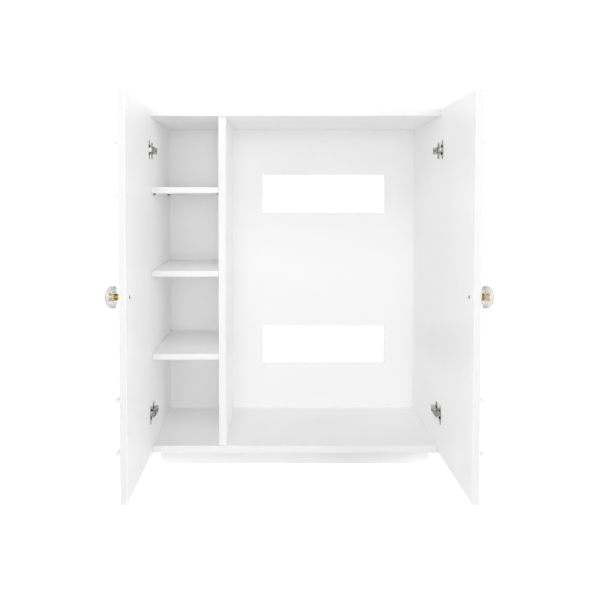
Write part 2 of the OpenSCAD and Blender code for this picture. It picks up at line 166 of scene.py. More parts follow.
@dataclass(frozen=True)
class Place:
    """A place to build at: an origin and three unit directions at right angles.

    Attributes:
        origin: The point that everything is measured from.
        across: The first direction.
        upward: The second direction.
        along: The third direction, such as an axis or a plate's thickness.
    """

    origin: np.ndarray
    across: np.ndarray
    upward: np.ndarray
    along: np.ndarray

    @classmethod
    def facing(cls, origin: np.ndarray, along: np.ndarray) -> "Place":
        """A place whose third direction is given, with the second one upright where it can be.

        Args:
            origin: Where the place is.
            along: Unit vector of its third direction.

        Returns:
            The place, with right-handed directions.
        """
        level = abs(along[2]) < 0.5
        upward = UPWARDS if level else BACKWARDS
        return cls(np.asarray(origin, float), np.cross(upward, along), upward, np.asarray(along, float))

    def put(self, local: np.ndarray) -> np.ndarray:
        """Points given along the three directions, turned into points of the frame."""
        return self.origin + local @ np.stack([self.across, self.upward, self.along])


def solids_in(node: str) -> list[Box]:
    """The boxes of the separate solids in a node that groups several.

    Args:
        node: Name of the frame's node.

    Returns:
        One box for each solid, in order of height, depth and width.
    """
    mesh = bmesh.new()
    mesh.from_mesh(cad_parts[node].data)
    bmesh.ops.remove_doubles(mesh, verts=mesh.verts, dist=MM / 1000)
    waiting = set(mesh.verts)
    boxes = []
    while waiting:
        reached = [waiting.pop()]
        for vertex in reached:
            near = {edge.other_vert(vertex) for edge in vertex.link_edges} & waiting
            waiting -= near
            reached.extend(near)
        places = np.array([vertex.co[:] for vertex in reached])
        boxes.append(Box(places.min(0), places.max(0)))
    mesh.free()
    return sorted(boxes, key=lambda box: box.centre.round(4)[::-1].tolist())


# ---- shapes ----


@dataclass(frozen=True)
class Shape:
    """Surfaces as points and faces.

    Attributes:
        points: One row of x, y and z for each point, in metres.
        faces: Each face as a list of point numbers.
    """

    points: np.ndarray
    faces: list[list[int]]

    def __add__(self, other: "Shape") -> "Shape":
        """Both surfaces in one shape."""
        shift = len(self.points)
        moved = [[index + shift for index in face] for face in other.faces]
        return Shape(np.vstack([self.points, other.points]), self.faces + moved)


def tube(rings: np.ndarray) -> Shape:
    """A surface through closed rings, with a face over the first and the last ring.

    The point (i, j) of the grid joins (i + 1, j) and (i, j + 1), and the last point of a ring joins
    its first one.

    Args:
        rings: Array of rings by points by three coordinates.

    Returns:
        The closed surface.
    """
    count, around = rings.shape[:2]
    start = np.arange(count - 1)[:, None] * around + np.arange(around)[None, :]
    after = np.arange(count - 1)[:, None] * around + (np.arange(around)[None, :] + 1) % around
    quads = np.stack([start, after, after + around, start + around], axis=-1).reshape(-1, 4)
    last = (count - 1) * around
    ends = [list(range(around))[::-1], list(range(last, last + around))]
    return Shape(rings.reshape(-1, 3), quads.tolist() + ends)


def rounded(corners: list[tuple[float, float]], radii: list[float], steps: int = 6) -> np.ndarray:
    """A line through corners, each with an arc of its own radius.

    An arc's middle lies on the corner's bisector, radius / sin(half the corner's angle) away, and
    its points turn evenly from one straight to the next.

    Args:
        corners: The line's corners as pairs of coordinates.
        radii: One radius for each corner, 0 for a sharp one and for the two ends.
        steps: Points in each arc.

    Returns:
        The line's points, one row each.
    """
    corner = np.asarray(corners, float)
    radius = np.asarray(radii, float)[:, None]
    back = np.roll(corner, 1, axis=0) - corner
    on = np.roll(corner, -1, axis=0) - corner
    back /= np.linalg.norm(back, axis=1, keepdims=True)
    on /= np.linalg.norm(on, axis=1, keepdims=True)
    # The limits keep a straight or folded corner, which has no arc, from dividing by nothing.
    half = np.arccos(np.clip((back * on).sum(1, keepdims=True), -0.9999, 0.9999)) / 2
    bisector = back + on
    bisector /= np.maximum(np.linalg.norm(bisector, axis=1, keepdims=True), 1e-9)
    middle = corner + bisector * radius / np.sin(half)
    first = corner + back * radius / np.tan(half) - middle
    second = corner + on * radius / np.tan(half) - middle
    turn = (np.pi - 2 * half)[:, None]
    share = np.linspace(0, 1, steps)[None, :, None]
    arc = np.sin((1 - share) * turn) * first[:, None] + np.sin(share * turn) * second[:, None]
    line = (middle[:, None] + arc / np.sin(turn)).reshape(-1, 2)
    moved = np.linalg.norm(np.diff(line, axis=0), axis=1) > 1e-8
    return line[np.r_[True, moved]]


def turned(profile: np.ndarray, place: Place, around: int = 48, ripple: Ripple | None = None) -> Shape:
    """A profile turned about a place's third direction.

    A point is origin + r cos(a) across + r sin(a) upward + s along, for the profile's distance s
    along the axis and radius r, and the angle a.

    Args:
        profile: Rows of s and r.
        place: Where the axis starts and which way it runs.
        around: Points in each ring.
        ripple: Changes s and r from the grids of angle, s and r, such as for a thread or a recess.

    Returns:
        The closed surface.
    """
    angle = np.linspace(0, 2 * np.pi, around, endpoint=False)[None, :] + np.zeros((len(profile), 1))
    far = profile[:, :1] + np.zeros_like(angle)
    radius = profile[:, 1:] + np.zeros_like(angle)
    if ripple:
        far, radius = ripple(angle, far, radius)
    local = np.stack([radius * np.cos(angle), radius * np.sin(angle), far], axis=-1)
    return tube(place.put(local))


def swept(section: np.ndarray, path: np.ndarray, place: Place) -> Shape:
    """A section carried along a flat open path with mitred corners.

    At a corner the section's sideways axis is (n1 + n2) / (1 + n1.n2), for the normals n1 and n2
    of the two straights, so both keep their full width.

    Args:
        section: Rows of sideways offset and height.
        path: Rows of the path's two coordinates in the place's first two directions.
        place: The path's plane and, as its third direction, the way up of the section.

    Returns:
        The closed surface, cut square at both ends.
    """
    run = np.diff(path, axis=0)
    run /= np.linalg.norm(run, axis=1, keepdims=True)
    normal = np.stack([-run[:, 1], run[:, 0]], axis=1)
    before = np.vstack([normal[:1], normal])
    after = np.vstack([normal, normal[-1:]])
    mitre = (before + after) / (1 + (before * after).sum(1, keepdims=True))
    flat = path[:, None, :] + section[None, :, :1] * mitre[:, None, :]
    up = np.broadcast_to(section[None, :, 1:], (*flat.shape[:2], 1))
    return tube(place.put(np.concatenate([flat, up], axis=-1)))


def rounded_block(box: Box, radius: float, steps: int = 4) -> Shape:
    """A board with all its edges and corners rounded.

    A point is the middle + sign (half size - radius) + radius n, where n runs over a sphere and
    sign is that of n's own direction, so each eighth of the sphere sits in its own corner.

    Args:
        box: The board's outer size and place.
        radius: Radius of its edges.
        steps: Points in a quarter turn.

    Returns:
        The closed surface.
    """
    quarter = np.linspace(0, np.pi / 2, steps + 1)
    around = (quarter[None, :] + np.arange(4)[:, None] * np.pi / 2).ravel()
    rise = np.concatenate([quarter - np.pi / 2, quarter])
    turn, lift = np.meshgrid(around, rise)
    normal = np.stack([np.cos(turn) * np.cos(lift), np.sin(turn) * np.cos(lift), np.sin(lift)], axis=-1)
    corner_turn = np.repeat(np.arange(4) * np.pi / 2 + np.pi / 4, steps + 1)[None, :]
    corner_rise = np.repeat([-1.0, 1.0], steps + 1)[:, None]
    sign = np.stack(np.broadcast_arrays(
        np.sign(np.cos(corner_turn)), np.sign(np.sin(corner_turn)), corner_rise), axis=-1)
    return tube(box.centre + sign * (box.size / 2 - radius) + radius * normal)


def pressed_plate(outline: np.ndarray, low: float, high: float, lip: float, place: Place) -> Shape:
    """A flat plate with rounded edges, pressed from sheet.

    Each ring is the outline moved inwards along its own normals by lip (1 - cos a) and raised by
    lip sin a round each of the two edges.

    Args:
        outline: Rows of two coordinates, going round the plate once.
        low: Height of the lower face.
        high: Height of the upper face.
        lip: Radius of the edges.
        place: The plate's plane, with its thickness in the third direction.

    Returns:
        The closed surface.
    """
    tangent = np.roll(outline, -1, axis=0) - np.roll(outline, 1, axis=0)
    tangent /= np.linalg.norm(tangent, axis=1, keepdims=True)
    inward = np.stack([-tangent[:, 1], tangent[:, 0]], axis=1)
    clockwise = np.sign(np.sum(np.roll(outline, -1, axis=0)[:, 1] * outline[:, 0]
                               - np.roll(outline, -1, axis=0)[:, 0] * outline[:, 1]))
    angle = np.linspace(0, np.pi / 2, 4)
    inset = lip * (1 - np.concatenate([np.sin(angle), np.cos(angle)]))
    level = np.concatenate([low + lip * (1 - np.cos(angle)), high - lip * (1 - np.sin(angle))])
    flat = outline[None] + inward[None] * inset[:, None, None] * clockwise
    up = np.broadcast_to(level[:, None, None], (*flat.shape[:2], 1))
    return tube(place.put(np.concatenate([flat, up], axis=-1)))


def make_piece(name: str, shape: Shape, body: Body, slot: Slot, material: bpy.types.Material,
               *stands_for: str) -> bpy.types.Object:
    """Turns a shape into a piece of the object that rides on a body.

    Args:
        name: The piece's name.
        shape: Its surface, with its place in its points.
        body: The body that it moves with.
        slot: The record's finish; not used.
        material: The material that it wears.
        stands_for: The frame's nodes that it replaces.

    Returns:
        The piece.
    """
    mesh = bpy.data.meshes.new(name)
    mesh.from_pydata(shape.points, [], shape.faces)
    work = bmesh.new()
    work.from_mesh(mesh)
    bmesh.ops.remove_doubles(work, verts=work.verts, dist=MERGE_DISTANCE)
    bmesh.ops.dissolve_degenerate(work, edges=work.edges, dist=MERGE_DISTANCE)
    bmesh.ops.recalc_face_normals(work, faces=work.faces)
    work.to_mesh(mesh)
    work.free()
    mesh.shade_smooth()
    mesh.set_sharp_from_angle(angle=math.radians(SHARP_ANGLE))
    piece = bpy.data.objects.new(name, mesh)
    bpy.context.scene.collection.objects.link(piece)
    mesh.materials.append(material)
    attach(piece, body.value)
    if stands_for:
        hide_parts(*stands_for)
    LOG.info("made %s: %d faces on %s", name, len(mesh.polygons), body.value)
    return piece


# ---- finishes ----


def linear(code: str) -> tuple[float, float, float, float]:
    """Turns an sRGB hex colour to linear light.

    Args:
        code: The colour as a # and six hex digits.

    Returns:
        Red, green, blue and alpha.
    """
    srgb = np.array([int(code[i : i + 2], 16) for i in (1, 3, 5)]) / 255
    light = np.where(srgb <= 0.04045, srgb / 12.92, ((srgb + 0.055) / 1.055) ** 2.4)
    return (*light.tolist(), 1.0)


def add_node(tree: bpy.types.NodeTree, kind: str, inputs: dict | None = None,
             **settings: object) -> bpy.types.Node:
    """Adds a node with its settings, input values and links.

    Args:
        tree: The node tree that it goes into.
        kind: The node's type.
        inputs: Input names or numbers, each with a value or with the output to link from.
        settings: The node's own properties.

    Returns:
        The node.
    """
    made = tree.nodes.new(kind)
    for name, value in settings.items():
        setattr(made, name, value)
    for name, value in (inputs or {}).items():
        if isinstance(value, bpy.types.NodeSocket):
            tree.links.new(value, made.inputs[name])
        else:
            made.inputs[name].default_value = value
    return made


def new_material(name: str) -> tuple[bpy.types.Material, bpy.types.NodeTree, bpy.types.NodeSocket]:
    """Starts a material.

    Args:
        name: Its name.

    Returns:
        The empty material, its node tree and the Object coordinates that its patterns read.
    """
    material = bpy.data.materials.new(name)
    material.use_nodes = True
    tree = material.node_tree
    tree.nodes.clear()
    return material, tree, add_node(tree, "ShaderNodeTexCoord").outputs["Object"]


def per_metre(feature: float) -> float:
    """The noise scale whose features are about this many millimetres across."""
    return 1 / (feature * MM)


def bands_per_metre(spacing: float) -> float:
    """The wave scale whose straight bands repeat every so many millimetres."""
    return math.pi / 10 * per_metre(spacing)


def paint_corner_shade(tree: bpy.types.NodeTree, clean: bpy.types.NodeSocket, dark: str,
               reach: float) -> bpy.types.NodeSocket:
    """Paints shade into a colour where other surfaces stand close by.

    Args:
        tree: The material's node tree.
        clean: The colour of the open surface.
        dark: The painted shade deep in a corner.
        reach: How far away a surface still counts, in mm.

    Returns:
        The mixed colour.
    """
    open_share, shut_share = 0.75, 0.3
    around = add_node(tree, "ShaderNodeAmbientOcclusion", {"Distance": reach * MM}, samples=8)
    depth = add_node(tree, "ShaderNodeMapRange", {
        "Value": around.outputs["AO"], "From Min": open_share, "From Max": shut_share})
    return add_node(tree, "ShaderNodeMix", {
        0: depth.outputs["Result"], 6: clean, 7: linear(dark)}, data_type="RGBA").outputs[2]


@dataclass(frozen=True)
class SatinLacquer:
    """Two-part polyurethane lacquer, sprayed on sanded board.

    The opaque film shows an orange peel of shallow dimples where the droplets flowed together, and
    broad clouds, a little glossier or duller, from rubbing down. Both are drawn a little stronger
    than on the real board, because at the size of the render they would vanish.

    The one white has three tones, which are chosen for the even light of the studio and don't stand
    for three paints. It is very white inside, where light is passed on between the boards. Surfaces
    that face along Y and surfaces on the outside get a greyer painted shade, so that edges and
    mouldings show.

    Attributes:
        name: The finish's name.
        colour: The film's colour.
        shade: The colour of its slightly thinner clouds.
        edge: Its painted shade on the boards' front and back edges.
        outside_shade: Its painted shade on surfaces that face away from the cabinet's middle.
        edge_shade_facing: How squarely a face looks along Y where the edge shade starts and is full.
        outside_shade_at: How far from the middle, in metres, the outside shade starts and is full.
        roughness: Its mean roughness.
        peel: Width of one dimple, in mm.
        cloud: Width of one cloud, in mm.
        rubs: Rubbed patches across one cloud.
    """

    name: str = "satin_white_lacquer"
    colour: str = "#fdfdfd"
    shade: str = "#fafafa"
    edge: str = "#ebebeb"
    outside_shade: str = "#f2f2f2"
    edge_shade_facing: tuple[float, float] = (0.7, 0.95)
    outside_shade_at: tuple[float, float] = (0.3, 0.4)
    roughness: float = 0.42
    peel: float = 2.4
    cloud: float = 160.0
    rubs: int = 14

    def build(self) -> bpy.types.Material:
        """The material."""
        material, tree, place = new_material(self.name)
        cloud = add_node(tree, "ShaderNodeTexNoise", {
            "Vector": place, "Scale": per_metre(self.cloud), "Detail": 3.0})
        tone = add_node(tree, "ShaderNodeMapRange", {
            "Value": cloud.outputs["Fac"], "From Min": 0.35, "From Max": 0.65})
        flat = add_node(tree, "ShaderNodeMix", {
            0: tone.outputs["Result"], 6: linear(self.shade), 7: linear(self.colour),
        }, data_type="RGBA")
        # Painted shade: surfaces on the outside and surfaces that face along Y are greyed, so that
        # edges and mouldings show in the even studio light.
        facing = add_node(tree, "ShaderNodeSeparateXYZ", {0: place.node.outputs["Normal"]})
        across = add_node(tree, "ShaderNodeSeparateXYZ", {0: place})
        away = add_node(tree, "ShaderNodeMath", {
            0: facing.outputs["X"], 1: across.outputs["X"]}, operation="MULTIPLY")
        outside_shade_mask = add_node(tree, "ShaderNodeMapRange", {
            "Value": away.outputs[0], "From Min": self.outside_shade_at[0],
            "From Max": self.outside_shade_at[1]})
        by_side = add_node(tree, "ShaderNodeMix", {
            0: outside_shade_mask.outputs["Result"], 6: flat.outputs[2], 7: linear(self.outside_shade),
        }, data_type="RGBA")
        along_y = add_node(tree, "ShaderNodeMath", {0: facing.outputs["Y"]}, operation="ABSOLUTE")
        edge_shade_mask = add_node(tree, "ShaderNodeMapRange", {
            "Value": along_y.outputs[0], "From Min": self.edge_shade_facing[0],
            "From Max": self.edge_shade_facing[1]})
        colour = add_node(tree, "ShaderNodeMix", {
            0: edge_shade_mask.outputs["Result"], 6: by_side.outputs[2], 7: linear(self.edge),
        }, data_type="RGBA")
        rubbing = add_node(tree, "ShaderNodeTexNoise", {
            "Vector": place, "Scale": per_metre(self.cloud / self.rubs), "Detail": 2.0})
        gloss = add_node(tree, "ShaderNodeMapRange", {
            "Value": rubbing.outputs["Fac"], "From Min": 0.3, "From Max": 0.7,
            "To Min": self.roughness - 0.05, "To Max": self.roughness + 0.05})
        peel = add_node(tree, "ShaderNodeTexNoise", {
            "Vector": place, "Scale": per_metre(self.peel), "Detail": 2.0, "Roughness": 0.45})
        bump = add_node(tree, "ShaderNodeBump", {
            "Strength": 0.25, "Distance": 0.05 * MM, "Height": peel.outputs["Fac"]})
        film = add_node(tree, "ShaderNodeBsdfPrincipled", {
            "Base Color": colour.outputs[2], "Roughness": gloss.outputs["Result"], "IOR": 1.5,
            "Coat Weight": 0.15, "Coat Roughness": 0.3, "Normal": bump.outputs["Normal"]})
        add_node(tree, "ShaderNodeOutputMaterial", {"Surface": film.outputs["BSDF"]})
        return material


@dataclass(frozen=True)
class SteamedBeech:
    """Beech dowel stock, steamed and machined.

    It is pink-brown and even, with fine darker growth lines and short darker ray flecks. The bands
    run diagonally, which draws them 1.15 times as far apart as straight ones, so the growth lines
    stand about 1.8 mm apart, near the real spacing of slow-grown stock.

    Attributes:
        name: The finish's name.
        early: Colour of the early wood.
        late: Colour of the late wood.
        ring: Distance between growth lines if they ran straight, in mm.
        fleck: Length of a ray fleck, in mm.
    """

    name: str = "steamed_beech"
    early: str = "#d8b48c"
    late: str = "#b98f66"
    ring: float = 1.6
    fleck: float = 2.5

    def build(self) -> bpy.types.Material:
        """The material."""
        material, tree, place = new_material(self.name)
        grain = add_node(tree, "ShaderNodeTexWave", {
            "Vector": place, "Scale": bands_per_metre(self.ring), "Distortion": 3.0,
            "Detail": 2.0}, bands_direction="DIAGONAL")
        fleck = add_node(tree, "ShaderNodeTexNoise", {
            "Vector": place, "Scale": per_metre(self.fleck), "Detail": 3.0})
        both = add_node(tree, "ShaderNodeMath", {
            0: grain.outputs["Fac"], 1: fleck.outputs["Fac"]}, operation="MULTIPLY")
        colour = add_node(tree, "ShaderNodeMix", {
            0: both.outputs[0], 6: linear(self.early), 7: linear(self.late)}, data_type="RGBA")
        bump = add_node(tree, "ShaderNodeBump", {
            "Strength": 0.3, "Distance": 0.1 * MM, "Height": both.outputs[0]})
        wood = add_node(tree, "ShaderNodeBsdfPrincipled", {
            "Base Color": colour.outputs[2], "Roughness": 0.6, "IOR": 1.5,
            "Normal": bump.outputs["Normal"]})
        add_node(tree, "ShaderNodeOutputMaterial", {"Surface": wood.outputs["BSDF"]})
        return material


@dataclass(frozen=True)
class PlatedSteel:
    """Pressed or turned steel with a bright metal plating.

    The plating follows the sheet, so it shows the rolled sheet's fine lines, small rubbed patches
    from barrel polishing, and a slight dulling in clouds. Its corners get a painted shade, in place of
    the dark things in a room that it would reflect and that a white studio doesn't have.

    Attributes:
        name: The finish's name.
        colour: Colour of the clean plating.
        dull: Colour of its duller clouds.
        recess: Painted shade deep in its corners.
        roughness: Its mean roughness.
        rubbed: How far rubbing takes the roughness up or down.
        cloud: Width of one cloud, in mm.
        line: Distance between the sheet's fine lines, in mm.
        stretch: Scale of the pattern along Z against the other two, so that the lines run that way.
        reach: How far the painted corner shade reaches, in mm.
    """

    name: str
    colour: str
    dull: str
    recess: str
    roughness: float
    rubbed: float = 0.07
    cloud: float = 6.0
    line: float = 0.35
    stretch: float = 0.08
    reach: float = 9.0

    def build(self) -> bpy.types.Material:
        """The material."""
        material, tree, place = new_material(self.name)
        cloud = add_node(tree, "ShaderNodeTexNoise", {
            "Vector": place, "Scale": per_metre(self.cloud), "Detail": 3.0})
        clean = add_node(tree, "ShaderNodeMix", {
            0: cloud.outputs["Fac"], 6: linear(self.colour), 7: linear(self.dull)}, data_type="RGBA")
        # Painted shade in the corners, in place of a room's dark reflections.
        colour = paint_corner_shade(tree, clean.outputs[2], self.recess, self.reach)
        rubbed = add_node(tree, "ShaderNodeMapRange", {
            "Value": cloud.outputs["Fac"], "From Min": 0.3, "From Max": 0.7,
            "To Min": self.roughness - self.rubbed, "To Max": self.roughness + self.rubbed})
        stretched = add_node(tree, "ShaderNodeMapping", {
            "Vector": place, "Scale": (1.0, 1.0, self.stretch)})
        lines = add_node(tree, "ShaderNodeTexNoise", {
            "Vector": stretched.outputs["Vector"], "Scale": per_metre(self.line), "Detail": 2.0})
        bump = add_node(tree, "ShaderNodeBump", {
            "Strength": 0.2, "Distance": 0.02 * MM, "Height": lines.outputs["Fac"]})
        plating = add_node(tree, "ShaderNodeBsdfPrincipled", {
            "Base Color": colour, "Metallic": 1.0, "Roughness": rubbed.outputs["Result"],
            "Normal": bump.outputs["Normal"]})
        add_node(tree, "ShaderNodeOutputMaterial", {"Surface": plating.outputs["BSDF"]})
        return material


@dataclass(frozen=True)
class TurnedBrass:
    """Yellow brass, turned on a lathe and left satin.

    The tool leaves fine rings round the axis, which runs along X on both knobs. Real rings stand
    0.1 mm apart; they are drawn 0.5 mm apart so that they show. It is tarnished in patches. Near
    the disc and the door it gets a painted shade, in place of a room's dark reflections.

    Attributes:
        name: The finish's name.
        colour: Colour of the clean metal.
        tarnish: Colour of the tarnished patches.
        recess: Painted shade close to the disc and the door.
        roughness: Its mean roughness.
        ring: Distance between the drawn tool rings, in mm.
        patch: Width of a tarnished patch, in mm.
        reach: How near a surface has to be to paint shade on it, in mm.
    """

    name: str = "satin_turned_brass"
    colour: str = "#cfb568"
    tarnish: str = "#94793a"
    recess: str = "#3f3210"
    roughness: float = 0.24
    ring: float = 0.5
    patch: float = 5.0
    reach: float = 14.0

    def build(self) -> bpy.types.Material:
        """The material."""
        material, tree, place = new_material(self.name)
        patch = add_node(tree, "ShaderNodeTexNoise", {
            "Vector": place, "Scale": per_metre(self.patch), "Detail": 4.0})
        tone = add_node(tree, "ShaderNodeMapRange", {
            "Value": patch.outputs["Fac"], "From Min": 0.45, "From Max": 0.75})
        tarnished = add_node(tree, "ShaderNodeMix", {
            0: tone.outputs["Result"], 6: linear(self.colour), 7: linear(self.tarnish),
        }, data_type="RGBA")
        # Painted shade near the disc and the door, in place of a room's dark reflections.
        colour = paint_corner_shade(tree, tarnished.outputs[2], self.recess, self.reach)
        rubbed = add_node(tree, "ShaderNodeMapRange", {
            "Value": patch.outputs["Fac"], "To Min": self.roughness - 0.06,
            "To Max": self.roughness + 0.1})
        rings = add_node(tree, "ShaderNodeTexWave", {
            "Vector": place, "Scale": bands_per_metre(self.ring), "Distortion": 0.4,
        }, bands_direction="X")
        bump = add_node(tree, "ShaderNodeBump", {
            "Strength": 0.25, "Distance": 0.02 * MM, "Height": rings.outputs["Fac"]})
        metal = add_node(tree, "ShaderNodeBsdfPrincipled", {
            "Base Color": colour, "Metallic": 1.0, "Roughness": rubbed.outputs["Result"],
            "Normal": bump.outputs["Normal"]})
        add_node(tree, "ShaderNodeOutputMaterial", {"Surface": metal.outputs["BSDF"]})
        return material


@dataclass(frozen=True)
class CastAcrylic:
    """Milky cast acrylic, turned and polished.

    Most of the light goes through and the rest is scattered in its warm, cloudy body, so the brass
    shows through it softly, and its polish leaves very fine haze.

    Attributes:
        name: The finish's name.
        colour: Colour of the clear stock.
        milk: Colour of the milky clouds.
        roughness: Its mean roughness.
        clear: Share of the light that goes through.
        cloud: Width of a milky cloud, in mm.
    """

    name: str = "polished_cast_acrylic"
    colour: str = "#fffefb"
    milk: str = "#faf7f1"
    roughness: float = 0.07
    clear: float = 0.76
    cloud: float = 14.0

    def build(self) -> bpy.types.Material:
        """The material."""
        material, tree, place = new_material(self.name)
        cloud = add_node(tree, "ShaderNodeTexNoise", {
            "Vector": place, "Scale": per_metre(self.cloud), "Detail": 2.0})
        colour = add_node(tree, "ShaderNodeMix", {
            0: cloud.outputs["Fac"], 6: linear(self.colour), 7: linear(self.milk)}, data_type="RGBA")
        haze = add_node(tree, "ShaderNodeMapRange", {
            "Value": cloud.outputs["Fac"], "To Min": self.roughness - 0.03,
            "To Max": self.roughness + 0.03})
        stock = add_node(tree, "ShaderNodeBsdfPrincipled", {
            "Base Color": colour.outputs[2], "Roughness": haze.outputs["Result"], "IOR": 1.49,
            "Transmission Weight": self.clear})
        add_node(tree, "ShaderNodeOutputMaterial", {"Surface": stock.outputs["BSDF"]})
        return material


@dataclass(frozen=True)
class Finishes:
    """The built materials.

    Attributes:
        materials: One for each of the record's finishes.
        doors: The doors' lacquer, with deeper painted shade on its edges and outside than the
            carcass's.
    """

    materials: dict[Slot, bpy.types.Material]
    doors: bpy.types.Material

    @classmethod
    def build(cls) -> "Finishes":
        """Builds every finish once."""
        recipes = {
            Slot.LACQUER: SatinLacquer(),
            Slot.BACK_LACQUER: SatinLacquer(
                name="satin_white_back_lacquer", colour="#f6f6f6", shade="#f2f2f2", edge="#f6f6f6",
                roughness=0.48),
            Slot.BEECH: SteamedBeech(),
            Slot.NICKEL: PlatedSteel(
                name="nickel_plated_pressed_steel", colour="#bfbbb5", dull="#98948e",
                recess="#3d3b38", roughness=0.26),
            Slot.ZINC_STEEL: PlatedSteel(
                name="zinc_plated_steel", colour="#b4b9be", dull="#8f959c", recess="#44474b",
                roughness=0.34),
            Slot.BRASS: TurnedBrass(),
            Slot.ACRYLIC: CastAcrylic(),
        }
        # The doors' lacquer paints a deeper shade on their edges and outside.
        doors = SatinLacquer(name="satin_white_lacquer_door_shade", edge="#e1e1e1", outside_shade="#ebebeb").build()
        return cls({slot: recipe.build() for slot, recipe in recipes.items()}, doors)


def dress(material: bpy.types.Material, *nodes: str) -> None:
    """Puts a finish on nodes of the frame that stay as they are.

    Args:
        material: The finish.
        nodes: Names of the frame's nodes.
    """
    for node in nodes:
        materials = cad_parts[node].data.materials
        materials.clear()
        materials.append(material)
        LOG.info("dressed %s in %s", node, material.name)


# ---- fasteners ----


@dataclass(frozen=True)
class Screw:
    """A threaded screw with a cross recess, in metres.

    Attributes:
        head: How its head is turned.
        shank: Diameter over the thread.
        head_depth: Height of the head.
        pitch: Rise of one turn of the thread.
        crown: How far the middle of the head stands above its rim.
        crown_rows: Rings in the crown.
        slot: Width of a slot of the cross, as a share of the head's radius.
        cross: Reach of the cross, as a share of the head's radius.
        cross_depth: Depth of the cross, as a share of the head's height.
        thread_depth: Depth of the thread, as a share of the shank's radius.
    """

    head: Head
    shank: float
    head_depth: float
    pitch: float
    crown: float = 0.35 * MM
    crown_rows: int = 11
    slot: float = 0.28
    cross: float = 0.62
    cross_depth: float = 0.55
    thread_depth: float = 0.17

    def profile(self, length: float, head_r: float) -> np.ndarray:
        """The screw's profile without its thread and its recess.

        Args:
            length: Length of the whole screw.
            head_r: Radius of the head.

        Returns:
            Rows of distance from the head's rim plane and radius, from the crown to the point.
        """
        rim, rows_per_turn = 0.3 * MM, 5
        share = np.linspace(0, 0.96, self.crown_rows)
        rise = 0.0 if self.head is Head.COUNTERSUNK else self.crown
        top = np.stack([rise - self.crown * (1 - share**2), share * head_r], axis=1)
        neck = self.shank / 2
        edges = {
            Head.COUNTERSUNK: [(0.04 * MM, head_r), (rim, head_r), (self.head_depth, neck)],
            Head.CHEESE: [(rise, head_r), (self.head_depth, head_r), (self.head_depth, neck)],
            Head.PAN: [(rise + rim, head_r), (self.head_depth, head_r), (self.head_depth, neck)],
        }[self.head]
        point = length - self.shank
        rows = max(2, int((point - self.head_depth) / self.pitch * rows_per_turn))
        thread = np.linspace(self.head_depth + 0.5 * MM, point, rows)
        shank = np.stack([thread, np.full(rows, neck)], axis=1)
        return np.vstack([top, edges, shank, [[length, 0.0]]])

    def shape(self, box: Box, into: np.ndarray) -> Shape:
        """The screw that fills a box.

        The thread's radius falls by a sixth between turns as a triangle wave of s / pitch -
        angle / 360, and the cross recess lowers the crown where the nearer of |x| and |y| is less
        than half a slot.

        Args:
            box: Outer size and place of the plain screw.
            into: Direction in which it was driven.

        Returns:
            The closed surface.
        """
        axis = int(np.argmax(np.abs(into)))
        length = box.size[axis]
        head_r = np.delete(box.size, axis).max() / 2
        neck = self.shank / 2
        slot = head_r * self.slot

        def cut(angle: np.ndarray, far: np.ndarray,
                radius: np.ndarray) -> tuple[np.ndarray, np.ndarray]:
            """Cuts the thread and the recess into the plain profile."""
            x, y = np.abs(radius * np.cos(angle)), np.abs(radius * np.sin(angle))
            inside = np.clip((slot / 2 - np.minimum(x, y)) / (0.12 * slot) + 0.5, 0, 1)
            inside *= np.clip((self.cross * head_r - radius) / (0.1 * head_r), 0, 1)
            crown = np.arange(len(far))[:, None] < self.crown_rows
            far = far + crown * inside * self.cross_depth * self.head_depth
            turn = np.abs((far / self.pitch - angle / (2 * np.pi)) % 1 * 2 - 1)
            threaded = (far > self.head_depth + MM) & np.isclose(radius, neck)
            return far, np.where(threaded, neck * (1 - self.thread_depth * turn), radius)

        place = Place.facing(box.face(-into), into)
        return turned(self.profile(length, head_r), place, around=40, ripple=cut)


@dataclass(frozen=True)
class Pin:
    """A plain steel pin with slightly domed ends, in metres.

    Attributes:
        dome: How far each end stands out of the plain pin's box.
        edge: Radius of the rounding at each end.
    """

    dome: float = 0.15 * MM
    edge: float = 0.3 * MM

    def shape(self, box: Box, along: np.ndarray) -> Shape:
        """The pin that fills a box.

        Args:
            box: Outer size and place of the plain pin.
            along: Direction of its axis.

        Returns:
            The closed surface.
        """
        axis = int(np.argmax(np.abs(along)))
        length, radius = box.size[axis], np.delete(box.size, axis).max() / 2
        corners = [(-self.dome, 0.0), (-self.dome, radius), (length + self.dome, radius),
                   (length + self.dome, 0.0)]
        profile = rounded(corners, [0.0, self.edge, self.edge, 0.0], steps=5)
        return turned(profile, Place.facing(box.face(-along), along), around=32)


@dataclass(frozen=True)
class Dowel:
    """A fluted hardwood dowel with chamfered ends, in metres.

    Attributes:
        flutes: Number of glue flutes.
        flute_depth: Depth of a flute.
        chamfer: Width of the chamfer at each end.
    """

    flutes: int = 12
    flute_depth: float = 0.35 * MM
    chamfer: float = 1.0 * MM

    def shape(self, box: Box, along: np.ndarray) -> Shape:
        """The dowel that fills a box.

        The radius falls by flute depth times cos^6 of half the flute count times the angle.

        Args:
            box: Outer size and place of the plain dowel.
            along: Direction of its axis.

        Returns:
            The closed surface.
        """
        axis = int(np.argmax(np.abs(along)))
        length, radius = box.size[axis], np.delete(box.size, axis).max() / 2
        ends = [(0.0, radius - self.chamfer), (self.chamfer, radius), (length - self.chamfer, radius),
                (length, radius - self.chamfer)]

        def flute(angle: np.ndarray, far: np.ndarray, r: np.ndarray) -> tuple[np.ndarray, np.ndarray]:
            """Cuts the flutes."""
            return far, r - self.flute_depth * np.cos(angle * self.flutes / 2) ** 6

        return turned(np.array(ends), Place.facing(box.face(-along), along), around=96, ripple=flute)


